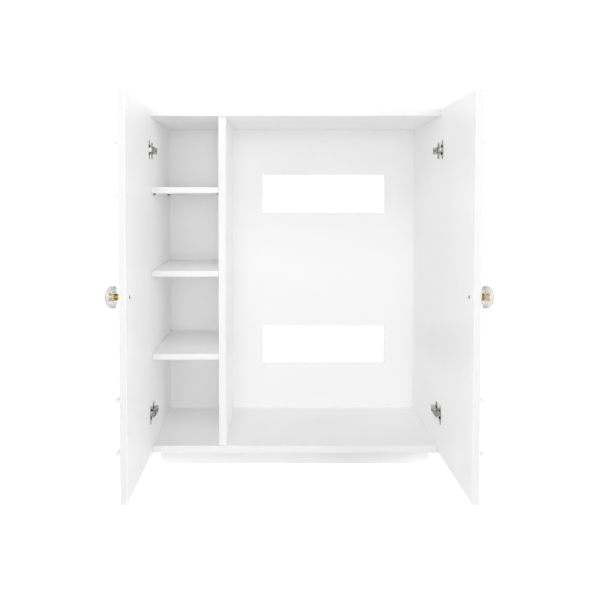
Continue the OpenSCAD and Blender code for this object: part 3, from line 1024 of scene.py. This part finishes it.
@dataclass(frozen=True)
class ShelfPin:
    """A turned shelf pin: a blind end in the panel, a collar and a free end, in metres.

    Attributes:
        blind: Length of the blind end.
        pin_r: Radius of the pin.
        collar: Thickness of the collar.
        groove: Depth of the grip groove on the blind end.
    """

    blind: float = 10 * MM
    pin_r: float = 2.5 * MM
    collar: float = 0.8 * MM
    groove: float = 0.25 * MM

    def shape(self, box: Box) -> Shape:
        """The pin that fills a box and points away from the panel it is in.

        Args:
            box: Outer size and place of the plain pin.

        Returns:
            The closed surface.
        """
        free = np.array([1.0 if box.low[0] < self.bay_middle() else -1.0, 0.0, 0.0])
        length, collar_r = box.size[0], box.size[2] / 2
        r, end = self.pin_r, self.blind + self.collar
        corners = [(0.0, 0.0), (0.0, r), (0.3 * self.blind, r), (0.35 * self.blind, r - self.groove),
                   (0.65 * self.blind, r - self.groove), (0.7 * self.blind, r), (self.blind, r),
                   (self.blind, collar_r), (end, collar_r), (end, r), (length, r), (length, 0.0)]
        soft = 0.3 * MM
        radii = [0.0, soft, 0.0, 0.0, 0.0, 0.0, 0.0, soft, soft, 0.0, 4 * soft, 0.0]
        return turned(rounded(corners, radii, steps=4), Place.facing(box.face(-free), free), around=32)

    @staticmethod
    def bay_middle() -> float:
        """The middle of the shelved bay along X."""
        return float(Box.of("lower_shelf").centre[0])


def replace_group(name: str, node: str, shape: Callable[[Box], Shape], body: Body, slot: Slot,
                  finishes: Finishes) -> None:
    """Replaces each solid of a group node by a detailed one, all in one piece.

    Args:
        name: The piece's name.
        node: The frame's node that groups the plain solids.
        shape: Makes the detailed one from a plain solid's box.
        body: The body that they move with.
        slot: The record's finish.
        finishes: The built materials.
    """
    shapes = [shape(box) for box in solids_in(node)]
    make_piece(name, sum(shapes[1:], shapes[0]), body, slot, finishes.materials[slot], node)


@dataclass(frozen=True)
class Fasteners:
    """What holds the cabinet together, group by group.

    Attributes:
        finishes: The built materials.
        chipboard: The back panel's screws.
        plate: The screws of the hinges' mounting plates.
        clamp: The screws that clamp the arms to the plates.
    """

    finishes: Finishes
    chipboard: Screw = Screw(Head.COUNTERSUNK, shank=3.5 * MM, head_depth=2.0 * MM, pitch=1.8 * MM)
    plate: Screw = Screw(Head.COUNTERSUNK, shank=3.8 * MM, head_depth=2.0 * MM, pitch=1.6 * MM)
    clamp: Screw = Screw(Head.CHEESE, shank=4.0 * MM, head_depth=2.0 * MM, pitch=0.7 * MM)

    def build(self) -> None:
        """Builds every group that belongs to the carcass."""
        self.group("back_panel_chipboard_screws", "back_panel_screws",
                   lambda box: self.chipboard.shape(box, -BACKWARDS), Slot.ZINC_STEEL)
        self.group("hinge_plate_countersunk_screws", "hinge_plate_screws",
                   lambda box: self.plate.shape(box, self.nearer_side(box)), Slot.ZINC_STEEL)
        self.group("hinge_arm_clamp_screws", "hinge_arm_screws",
                   lambda box: self.clamp.shape(box, self.nearer_side(box)), Slot.ZINC_STEEL)
        self.group("hinge_arm_rivet_pins", "hinge_arm_pins",
                   lambda box: Pin().shape(box, UPWARDS), Slot.ZINC_STEEL)
        self.group("shelf_support_pins", "shelf_pins", ShelfPin().shape, Slot.ZINC_STEEL)
        for node in ("carcass_dowels", "plinth_dowels"):
            self.group(f"{node}_fluted", node, self.dowel, Slot.BEECH)

    def group(self, name: str, node: str, shape: Callable[[Box], Shape], slot: Slot) -> None:
        """Replaces the solids of one of the carcass's group nodes."""
        replace_group(name, node, shape, Body.CABINET, slot, self.finishes)

    @staticmethod
    def nearer_side(box: Box) -> np.ndarray:
        """The direction from a fastener to the side panel that it is driven into."""
        return np.array([math.copysign(1.0, box.centre[0]), 0.0, 0.0])

    @staticmethod
    def dowel(box: Box) -> Shape:
        """A dowel along the longest side of its box.

        Args:
            box: Outer size and place of the plain dowel.

        Returns:
            The closed surface.
        """
        along = np.zeros(3)
        along[int(np.argmax(box.size))] = 1.0
        return Dowel().shape(box, along)


# ---- carcass ----


@dataclass(frozen=True)
class Carcass:
    """The case, its plinth and its shelves.

    Attributes:
        finishes: The built materials.
        shelf_edge: Radius of a shelf's lacquered edges.
        plinth_edge: Radius of a plinth board's edges.
    """

    finishes: Finishes
    shelf_edge: float = 1.2 * MM
    plinth_edge: float = 0.8 * MM

    def build(self) -> None:
        """Dresses the panels and builds the boards with rounded edges."""
        finishes = self.finishes.materials
        dress(finishes[Slot.LACQUER], "top_panel", "bottom_panel", "left_side_panel",
              "right_side_panel", "divider_panel")
        dress(finishes[Slot.BACK_LACQUER], "back_panel")
        for level in ("lower", "middle", "upper"):
            self.board(f"{level}_shelf_lacquered", f"{level}_shelf", self.shelf_edge)
        for place in ("front", "back", "left", "right"):
            self.board(f"plinth_{place}_lacquered", f"plinth_{place}_board", self.plinth_edge)
        self.board("plinth_rail_lacquered", "plinth_foot_rail", self.plinth_edge)

    def board(self, name: str, node: str, edge: float) -> None:
        """Replaces a board by one with rounded edges."""
        make_piece(name, rounded_block(Box.of(node), edge), Body.CABINET, Slot.LACQUER,
                   self.finishes.materials[Slot.LACQUER], node)


# ---- doors ----


@dataclass(frozen=True)
class Door:
    """One door with its bead mouldings.

    Attributes:
        side: Which door.
        finishes: The built materials.
        bead_w: Width of the bead moulding.
        fillet: Width of the flat step on each side of the bead.
        step: Height of that step.
    """

    side: Side
    finishes: Finishes
    bead_w: float = 10 * MM
    fillet: float = 1.1 * MM
    step: float = 2.4 * MM

    def build(self) -> None:
        """Dresses the panel and builds both halves of the moulding frames."""
        dress(self.finishes.doors, f"{self.side.value}_door_panel")
        for frame_name in ("outer", "inner"):
            self.moulding(frame_name)

    def section(self, height: float) -> np.ndarray:
        """The bead's section: two low steps with about two thirds of a round between them.

        Args:
            height: How far the bead stands off the door.

        Returns:
            Rows of sideways offset and height, round the section once.
        """
        half, inner = self.bead_w / 2, self.bead_w / 2 - self.fillet
        undercut = 0.16 * np.pi
        turn = np.linspace(-undercut, np.pi + undercut, 25)
        bead = np.stack([inner * np.cos(turn), height - inner + inner * np.sin(turn)], axis=1)
        neck = bead[0, 0]
        right = rounded([(half, 0.0), (half, self.step), (neck, self.step), (neck, bead[0, 1])],
                        [0.0, 0.4 * MM, 0.3 * MM, 0.0], steps=4)
        left = right[::-1] * [-1.0, 1.0]
        return np.vstack([right[:-1], bead, left[1:]])

    def moulding(self, frame_name: str) -> None:
        """Sweeps the bead from the free edge round the door's half of a frame and back.

        Args:
            frame_name: Which of the two frames.
        """
        node = f"{self.side.value}_{frame_name}_moulding"
        box = Box.of(node)
        half = self.bead_w / 2
        free, stile = box.low[1], box.high[1] - half
        low, high = box.low[2] + half, box.high[2] - half
        path = np.array([(free, low), (stile, low), (stile, high), (free, high)])
        foot = box.face(-self.side.outward) * [1.0, 0.0, 0.0]
        place = Place(foot, BACKWARDS, UPWARDS, self.side.outward)
        shape = swept(self.section(box.size[0]), path, place)
        make_piece(f"{self.side.value}_{frame_name}_bead", shape, self.side.door, Slot.LACQUER,
                   self.finishes.doors, node)


@dataclass(frozen=True)
class Knob:
    """A crowned acrylic disc on a turned brass stem, held by a screw through the door.

    Attributes:
        side: Which door it is on.
        finishes: The built materials.
        rim: Distance from the disc's back to the start of its crown.
        bore_r: Radius of the bore that takes the stem's spigot.
        bore_depth: Depth of that bore.
        spigot_press: How far the pressed-in spigot reaches into the bore's wall.
        screw: The screw that comes through the door.
    """

    side: Side
    finishes: Finishes
    rim: float = 6 * MM
    bore_r: float = 7.0 * MM
    bore_depth: float = 12 * MM
    spigot_press: float = 0.05 * MM
    screw: Screw = Screw(Head.PAN, shank=4 * MM, head_depth=2.2 * MM, pitch=0.7 * MM, crown=0.6 * MM)

    def build(self) -> None:
        """Builds the disc, the stem and the screw."""
        side = self.side.value
        self.piece("acrylic_crown", self.disc(Box.of(f"{side}_knob_disc")), Slot.ACRYLIC, "knob_disc")
        self.piece("turned_stem", self.stem(Box.of(f"{side}_knob_stem")), Slot.BRASS, "knob_stem")
        through = self.screw.shape(Box.of(f"{side}_knob_screw"), self.side.outward)
        self.piece("knob_pan_screw", through, Slot.ZINC_STEEL, "knob_screw")

    def piece(self, name: str, shape: Shape, slot: Slot, node: str) -> None:
        """Makes one piece of the knob."""
        side = self.side.value
        make_piece(f"{side}_{name}", shape, self.side.door, slot, self.finishes.materials[slot],
                   f"{side}_{node}")

    def disc(self, box: Box) -> Shape:
        """The disc: a flat back with a bore, a short rim and a crowned front.

        Over the crown the radius is R cos^0.62 t and the height rim + (T - rim) sin t, for the
        disc's radius R and thickness T and t from 0 to a quarter turn.

        Args:
            box: Outer size and place of the disc.

        Returns:
            The closed surface.
        """
        thick, radius, fullness = box.size[0], box.size[1] / 2, 0.62
        back = rounded([(self.bore_depth, 0.0), (self.bore_depth, self.bore_r), (0.0, self.bore_r),
                        (0.0, radius), (self.rim, radius)],
                       [0.0, 0.4 * MM, 0.4 * MM, 1.8 * MM, 0.0], steps=8)
        t = np.linspace(0, np.pi / 2, 40)[1:]
        crown = np.stack([self.rim + (thick - self.rim) * np.sin(t),
                          radius * np.cos(t).clip(0) ** fullness], axis=1)
        place = Place.facing(box.face(-self.side.outward), self.side.outward)
        return turned(np.vstack([back, crown]), place, around=96)

    def stem(self, box: Box) -> Shape:
        """The stem: a rosette on the door, a cove, a grooved collar and a spigot in the disc.

        Args:
            box: Outer size and place of the stem.

        Returns:
            The closed surface.
        """
        foot_r = box.size[1] / 2
        end = box.size[0] + self.spigot_press
        neck = box.size[0] - self.bore_depth
        spigot = self.bore_r + self.spigot_press
        bore, bore_end = 2 * MM, 9 * MM
        waist, collar = foot_r - 3 * MM, foot_r - 1.5 * MM
        rosette, step, slope = 1.4 * MM, 1.2 * MM, 1.8 * MM
        cove, cove_end = rosette + step + slope, neck - 4.6 * MM - slope
        groove, groove_end, groove_slope = neck - 3.0 * MM, neck - 2.0 * MM, 0.3 * MM
        groove_r = collar - 0.5 * MM
        corners = [(bore_end, 0.0), (bore_end, bore), (0.0, bore), (0.0, foot_r), (rosette, foot_r),
                   (rosette, collar), (rosette + step, collar), (cove, waist), (cove_end, waist),
                   (cove_end + slope, collar), (groove, collar), (groove + groove_slope, groove_r),
                   (groove_end - groove_slope, groove_r), (groove_end, collar), (neck, collar),
                   (neck, spigot), (end, spigot), (end, 0.0)]
        soft = 0.35 * MM
        radii = [0.0, 0.0, soft, soft, soft, 0.0, soft, 2.2 * MM, 2.2 * MM, soft, soft / 3, 0.0, 0.0,
                 soft / 3, soft, 0.0, soft, 0.0]
        place = Place.facing(box.face(-self.side.outward), self.side.outward)
        return turned(rounded(corners, radii, steps=6), place, around=72)


# ---- hinges ----


@dataclass(frozen=True)
class Hinge:
    """One concealed cup hinge, in metres.

    The cabinet half is drawn in the seat's plane: across from the side panel's inner face into the
    bay, upward from the front edges backwards, and along Z. The door half is drawn from the
    middle of the cup: across towards the door's free edge, Z, and out of the door's inner face.

    Attributes:
        side: Which door it hangs.
        height: Which of the two hinges.
        finishes: The built materials.
        arm_pin: Where the arm pin stands in the seat's plane.
        link_run: From the arm pin to the cup pin in the same plane.
        link_bulge: How far the link bows off the straight line between its pins.
        link_t: Thickness of the link's strap.
        knuckle_r: Radius of the link's knuckles and of the ears' tops.
        sheet: Thickness of the arm's sheet.
        lip: Radius of the pressed edges.
        cup_r: Outer radius of the cup.
        cup_wall: Thickness of its wall and floor.
        flange_ring: Width of the flange's ring round the cup.
        flange_t: Thickness of the flange.
        wing_in: How far the flange's bar is set towards the door's free edge.
        wing_w: Width of that bar.
        cup_pin_depth: How deep the cup pin lies behind the door's inner face.
        ear_t: Thickness of an ear.
    """

    side: Side
    height: Height
    finishes: Finishes
    arm_pin: tuple[float, float] = (9 * MM, -7 * MM)
    link_run: tuple[float, float] = (-13 * MM, -11.66 * MM)
    link_bulge: float = 4 * MM
    link_t: float = 2.4 * MM
    knuckle_r: float = 2.6 * MM
    sheet: float = 1.5 * MM
    lip: float = 0.35 * MM
    cup_r: float = 17.5 * MM
    cup_wall: float = 1 * MM
    flange_ring: float = 2 * MM
    flange_t: float = 1.2 * MM
    wing_in: float = 6 * MM
    wing_w: float = 18 * MM
    cup_pin_depth: float = 6 * MM
    ear_t: float = 2.4 * MM

    @property
    def name(self) -> str:
        """How the hinge's nodes start."""
        return f"{self.side.value}_{self.height.value}_hinge"

    def build(self) -> None:
        """Builds the plate, the arm, the link and the cup."""
        self.piece("mounting_plate", self.plate(), Body.CABINET, "plate")
        self.piece("pressed_arm", self.arm(), Body.CABINET, "arm")
        self.piece("bowed_link", self.link(), self.side.links, "link")
        self.piece("pressed_cup", self.cup(), self.side.door, "cup")

    def piece(self, name: str, shape: Shape, body: Body, node: str) -> None:
        """Makes one piece of the hinge."""
        make_piece(f"{self.name}_{name}", shape, body, Slot.NICKEL,
                   self.finishes.materials[Slot.NICKEL], f"{self.name}_{node}")

    def seat(self) -> Place:
        """The plane of the cabinet half, at the hinge's middle height."""
        panel = Box.of(f"{self.side.value}_side_panel")
        inner = panel.face(-self.side.outward)[0]
        middle = Box.of(f"{self.name}_arm").centre[2]
        return Place(np.array([inner, panel.low[1], middle]), -self.side.outward, BACKWARDS, UPWARDS)

    def local_box(self, node: str, seat: Place) -> Box:
        """Measures one of the hinge's nodes in the seat's own directions.

        Args:
            node: The last word of the node's name.
            seat: The plane of the cabinet half.

        Returns:
            The node's box.
        """
        box = Box.of(f"{self.name}_{node}")
        axes = np.stack([seat.across, seat.upward, seat.along])
        ends = np.stack([box.low - seat.origin, box.high - seat.origin]) @ axes.T
        return Box(ends.min(0), ends.max(0))

    def plate(self) -> Shape:
        """The mounting plate: a pressed base with round ends and the rail that the arm clips over.

        Returns:
            Both closed surfaces.
        """
        seat = self.seat()
        box = self.local_box("plate", seat)
        base_t, rail_w, base_w = 2 * MM, 15 * MM, 18 * MM
        forward, off_panel = 1 * MM, 0.2 * MM
        middle = (box.low[1] + box.high[1]) / 2 - forward
        half_w, half_h = base_w / 2, box.size[2] / 2
        corners = [(middle - half_w, -half_h), (middle + half_w, -half_h),
                   (middle + half_w, half_h), (middle - half_w, half_h)]
        outline = rounded(corners, [0.7 * half_w] * 4, steps=8)
        flat = Place(seat.origin, seat.upward, seat.along, seat.across)
        base = pressed_plate(outline, 0.0, base_t, self.lip, flat)
        rail = rounded_block(Box(np.array([off_panel, box.low[1], -rail_w / 2]),
                                 np.array([box.high[0], box.high[1], rail_w / 2])), 1.0 * MM)
        return base + Shape(seat.put(rail.points), rail.faces)

    def arm(self) -> Shape:
        """The arm: two pressed cheeks that carry the arm pin, and the web that joins them.

        Returns:
            The three closed surfaces.
        """
        seat = self.seat()
        box = self.local_box("arm", seat)
        x, y = self.arm_pin
        nose = 3 * MM
        low, high, end = box.low[0], box.high[0], box.high[1]
        corners = [(x - nose, y - nose), (x + nose, y - nose), (high, 0.0), (high, end),
                   (low, end - low), (low, low)]
        outline = rounded(corners, [0.99 * nose, 0.99 * nose, nose, nose, nose, nose], steps=8)
        cheeks = [pressed_plate(outline, z, z + self.sheet, self.lip, seat)
                  for z in (box.low[2], box.high[2] - self.sheet)]
        inset, front, under_cheeks = 0.2 * MM, 0.6 * MM, 0.05 * MM
        web = rounded_block(Box(
            np.array([high - self.sheet, front, box.low[2] + inset]),
            np.array([high - under_cheeks, end - inset, box.high[2] - inset])), self.lip)
        return cheeks[0] + cheeks[1] + Shape(seat.put(web.points), web.faces)

    def link(self) -> Shape:
        """The bowed link: a strap on an arc that swells into a round knuckle at each pin.

        Its half thickness is t/2 + (k - t/2) exp(-(d / k)^2), for the strap's thickness t, the
        knuckle's radius k and the distance d to the nearer pin.

        Returns:
            The closed surface.
        """
        seat = self.seat()
        box = self.local_box("link", seat)
        run = np.array(self.link_run)
        length = np.linalg.norm(run)
        axis = run / length
        side = np.array([-axis[1], axis[0]])
        bow_r = ((length / 2) ** 2 + self.link_bulge**2) / (2 * self.link_bulge)
        reach = math.asin(length / 2 / bow_r)
        turn = np.linspace(-reach, reach, 33)[:, None]
        middle = (np.array(self.arm_pin) + axis * (length / 2 + bow_r * np.sin(turn))
                  + side * (self.link_bulge - bow_r + bow_r * np.cos(turn)))
        normal = axis * np.sin(turn) + side * np.cos(turn)
        onward = axis * np.cos(turn) - side * np.sin(turn)
        to_pin = bow_r * (reach - np.abs(turn))
        swell = np.exp(-((to_pin / self.knuckle_r) ** 2))
        half = self.link_t / 2 + (self.knuckle_r - self.link_t / 2) * swell
        cap = np.linspace(0, np.pi, 13)[1:-1, None]
        far = middle[-1] + self.knuckle_r * (normal[-1] * np.cos(cap) + onward[-1] * np.sin(cap))
        near = middle[0] - self.knuckle_r * (normal[0] * np.cos(cap) + onward[0] * np.sin(cap))
        outline = np.vstack([middle + half * normal, far, (middle - half * normal)[::-1], near])
        return pressed_plate(outline, box.low[2], box.high[2], self.lip, seat)

    def flange_edge(self, angle: np.ndarray, half_z: float) -> np.ndarray:
        """How far the flange's outline lies from the cup's middle at each angle.

        The outline is that of a circle and of a bar with round ends: the largest of the distances
        at which a ray leaves the circle, the bar's straight part and its two round ends.

        Args:
            angle: Angles from the direction to the door's free edge.
            half_z: Half of the flange's height.

        Returns:
            The distance at each angle.
        """
        c, s = np.cos(angle), np.sin(angle)
        end_r = self.wing_w / 2
        middle_z = half_z - end_r
        with np.errstate(divide="ignore", invalid="ignore"):
            straight = np.minimum((self.wing_in + end_r * np.sign(c)) / c, middle_z / np.abs(s))
        toward = c * self.wing_in + np.abs(s) * middle_z
        under = end_r**2 - self.wing_in**2 - middle_z**2 + toward**2
        round_end = np.where(under > 0, toward + np.sqrt(np.maximum(under, 0)), 0.0)
        return np.maximum.reduce([np.full_like(angle, self.cup_r + self.flange_ring),
                                  np.nan_to_num(straight), round_end])

    def cup(self) -> Shape:
        """The pressed cup: a drawn bowl with a flange and, inside it, the two ears of the cup pin.

        The profile is turned with its flange out to a circle, and the flange's rim is then brought
        in to its own outline.

        Returns:
            The three closed surfaces.
        """
        box = Box.of(f"{self.name}_cup")
        inward = -self.side.outward
        face = box.face(inward) - inward * self.flange_t
        place = Place(face, -BACKWARDS, UPWARDS, inward)
        depth, half_z = box.size[0] - self.flange_t, box.size[2] / 2
        rim = 2 * self.cup_r
        mouth = self.cup_r - self.cup_wall
        floor = -depth + self.cup_wall
        corners = [(-depth, 0.0), (-depth, self.cup_r), (0.0, self.cup_r), (0.0, rim),
                   (self.flange_t, rim), (self.flange_t, mouth), (floor, mouth), (floor, 0.0)]
        radii = [0.0, 1.5 * MM, 0.0, 0.0, self.lip, 0.8 * MM, 1.2 * MM, 0.0]
        profile = rounded(corners, radii, steps=6)

        def bring_in(angle: np.ndarray, far: np.ndarray,
                     radius: np.ndarray) -> tuple[np.ndarray, np.ndarray]:
            """Brings the flange's rim in to its outline."""
            edge = self.flange_edge(angle, half_z)
            return far, np.where(radius > self.cup_r + MM, radius - rim + edge, radius)

        bowl = turned(profile, place, around=160, ripple=bring_in)
        return bowl + self.ears(place, depth)

    def ears(self, place: Place, depth: float) -> Shape:
        """The two ears that hold the cup pin, from the bowl's floor to round tops at the pin.

        Args:
            place: The cup's middle and its directions.
            depth: Depth of the cup.

        Returns:
            Both closed surfaces.
        """
        pins = solids_in(f"{self.side.value}_cup_pins")
        pin = min(pins, key=lambda one: abs(one.centre[2] - place.origin[2]))
        r, floor, foot = self.knuckle_r, self.cup_pin_depth - depth, 0.2 * MM
        outline = rounded([(-r, floor), (r, floor), (r, r), (-r, r)],
                          [foot, foot, 0.99 * r, 0.99 * r], steps=8)
        flat = Place(np.array([*pin.centre[:2], 0.0]), place.across, place.along, UPWARDS)
        low = pressed_plate(outline, pin.low[2], pin.low[2] + self.ear_t, self.lip, flat)
        high = pressed_plate(outline, pin.high[2] - self.ear_t, pin.high[2], self.lip, flat)
        return low + high


@dataclass(frozen=True)
class DoorFasteners:
    """The cup screws and the cup pins of one door.

    Attributes:
        side: Which door.
        finishes: The built materials.
        cup_screw: The screws in the cups' flanges.
    """

    side: Side
    finishes: Finishes
    cup_screw: Screw = Screw(Head.COUNTERSUNK, shank=3.4 * MM, head_depth=1.8 * MM, pitch=1.4 * MM)

    def build(self) -> None:
        """Builds both groups."""
        self.group("cup_wood_screws", "cup_screws",
                   lambda box: self.cup_screw.shape(box, self.side.outward))
        self.group("cup_rivet_pins", "cup_pins", lambda box: Pin().shape(box, UPWARDS))

    def group(self, name: str, node: str, shape: Callable[[Box], Shape]) -> None:
        """Replaces each solid of one of the door's group nodes."""
        side = self.side.value
        replace_group(f"{side}_{name}", f"{side}_{node}", shape, self.side.door, Slot.ZINC_STEEL,
                      self.finishes)


# ---- studio ----


@dataclass(frozen=True)
class SoftBox:
    """A square studio light.

    Attributes:
        name: Its name.
        at: Where it hangs.
        aim: The point that it faces.
        size: Its side length.
        power: Its power in watts.
    """

    name: str
    at: tuple[float, float, float]
    aim: tuple[float, float, float]
    size: float
    power: float

    def hang(self) -> None:
        """Adds the light to the scene."""
        lamp = bpy.data.lights.new(self.name, "AREA")
        lamp.shape = "SQUARE"
        lamp.size = self.size
        lamp.energy = self.power
        holder = bpy.data.objects.new(self.name, lamp)
        bpy.context.scene.collection.objects.link(holder)
        holder.location = self.at
        view = Vector(self.aim) - Vector(self.at)
        holder.rotation_euler = view.to_track_quat("-Z", "Y").to_euler()


@dataclass(frozen=True)
class Studio:
    """A plain white studio: the floor, the light all round, five soft boxes and the camera.

    Attributes:
        floor_size: Side length of the floor, in metres.
        floor_gap: How far it lies under the plinth.
        floor_seen_glow: The light that it gives off where it is seen itself, so that it is as pale as
            the backdrop. It gives the cabinet none.
        sky: Strength of the light from straight above.
        horizon: Strength of the light from the horizon and from below it.
        backdrop: Strength of the backdrop where it is seen, a little past white.
        stand_off: Distance from the camera to the cabinet's front plane.
        aside: How far the camera stands to the left of the cabinet's middle.
        eye: Height of the camera.
        tilt: How far it looks down, in degrees.
        lens: Its focal length, in mm on a 36 mm wide sensor.
        bounces: How often light may be passed on between the white boards before it is dropped.
        shift: Its shift to the right and upwards, as shares of the picture's width.
        soft_boxes: The lamps, whose powers keep the inside pale and the outside below white.
    """

    floor_size: float = 40.0
    floor_gap: float = 0.2 * MM
    floor_seen_glow: float = 0.7
    sky: float = 0.0
    horizon: float = 1.23
    backdrop: float = 1.1
    stand_off: float = 2.628
    aside: float = 0.0653
    eye: float = 0.8144
    tilt: float = 2.47
    lens: float = 52.54
    bounces: int = 24
    shift: tuple[float, float] = (0.0438, -0.1032)
    soft_boxes: tuple[SoftBox, ...] = (
        SoftBox("front_softbox", (-0.07, -9.0, 1.0), (0.0, -0.2, 0.6), size=2.0, power=97.0),
        SoftBox("high_softbox", (-0.5, -6.0, 5.0), (0.0, -0.2, 0.5), size=2.4, power=80.0),
        SoftBox("far_right_softbox", (5.0, -7.0, 1.5), (0.0, -0.2, 0.6), size=2.4, power=94.0),
        SoftBox("left_softbox", (-3.0, -1.6, 1.2), (0.0, -0.3, 0.6), size=2.0, power=26.0),
        SoftBox("right_softbox", (3.0, -1.6, 1.2), (0.0, -0.3, 0.6), size=2.0, power=24.0),
    )

    def build(self) -> None:
        """Sets up the whole studio."""
        bpy.context.scene.view_settings.view_transform = "Standard"
        self.camera()
        self.floor()
        self.surroundings()
        scene = bpy.context.scene
        scene.cycles.max_bounces = scene.cycles.diffuse_bounces = self.bounces
        for lamp in self.soft_boxes:
            lamp.hang()

    def camera(self) -> None:
        """Puts the camera in front of the open cabinet."""
        lens = bpy.data.cameras.new("camera")
        lens.lens = self.lens
        lens.sensor_width = 36.0
        lens.shift_x, lens.shift_y = self.shift
        camera = bpy.data.objects.new("camera", lens)
        bpy.context.scene.collection.objects.link(camera)
        front = Box.of("top_panel").low[1]
        camera.location = (-self.aside, front - self.stand_off, self.eye)
        camera.rotation_euler = (math.radians(90 - self.tilt), 0.0, 0.0)
        bpy.context.scene.camera = camera

    def floor(self) -> None:
        """Lays the floor just under the plinth."""
        mesh = bpy.data.meshes.new("studio_floor")
        half, level = self.floor_size / 2, -self.floor_gap
        corners = [(-half, -half, level), (half, -half, level), (half, half, level),
                   (-half, half, level)]
        mesh.from_pydata(corners, [], [[0, 1, 2, 3]])
        floor = bpy.data.objects.new("studio_floor", mesh)
        bpy.context.scene.collection.objects.link(floor)
        material, tree, place = new_material("matt_white_paper")
        fibre = add_node(tree, "ShaderNodeTexNoise", {"Vector": place, "Scale": per_metre(1.5)})
        bump = add_node(tree, "ShaderNodeBump", {
            "Strength": 0.1, "Distance": 0.05 * MM, "Height": fibre.outputs["Fac"]})
        glow = add_node(tree, "ShaderNodeMapRange", {
            "Value": add_node(tree, "ShaderNodeLightPath").outputs["Is Camera Ray"],
            "To Max": self.floor_seen_glow})
        paper = add_node(tree, "ShaderNodeBsdfPrincipled", {
            "Base Color": linear("#f4f4f4"), "Roughness": 0.9, "Specular IOR Level": 0.1,
            "Emission Color": linear("#ffffff"), "Emission Strength": glow.outputs["Result"],
            "Normal": bump.outputs["Normal"]})
        add_node(tree, "ShaderNodeOutputMaterial", {"Surface": paper.outputs["BSDF"]})
        mesh.materials.append(material)

    def surroundings(self) -> None:
        """Lights the scene from all round, and keeps the backdrop plain white where it is seen."""
        world = bpy.data.worlds.new("white_studio")
        world.use_nodes = True
        bpy.context.scene.world = world
        tree = world.node_tree
        tree.nodes.clear()
        place = add_node(tree, "ShaderNodeTexCoord").outputs["Generated"]
        rise = add_node(tree, "ShaderNodeSeparateXYZ", {0: place})
        strength = add_node(tree, "ShaderNodeMapRange", {
            "Value": rise.outputs["Z"], "To Min": self.horizon, "To Max": self.sky})
        light = add_node(tree, "ShaderNodeBackground", {
            "Color": linear("#ffffff"), "Strength": strength.outputs["Result"]})
        seen = add_node(tree, "ShaderNodeBackground", {
            "Color": linear("#ffffff"), "Strength": self.backdrop})
        ray = add_node(tree, "ShaderNodeLightPath").outputs["Is Camera Ray"]
        both = add_node(tree, "ShaderNodeMixShader", {
            0: ray, 1: light.outputs[0], 2: seen.outputs[0]})
        add_node(tree, "ShaderNodeOutputWorld", {"Surface": both.outputs[0]})


def main() -> None:
    """Builds the cabinet in order."""
    logging.basicConfig(level=logging.INFO, format="%(name)s: %(message)s")
    finishes = Finishes.build()
    Studio().build()
    Carcass(finishes).build()
    Fasteners(finishes).build()
    for side in Side:
        Door(side, finishes).build()
        Knob(side, finishes).build()
        DoorFasteners(side, finishes).build()
        for height in Height:
            Hinge(side, height, finishes).build()


if __name__ == "__main__":
    main()
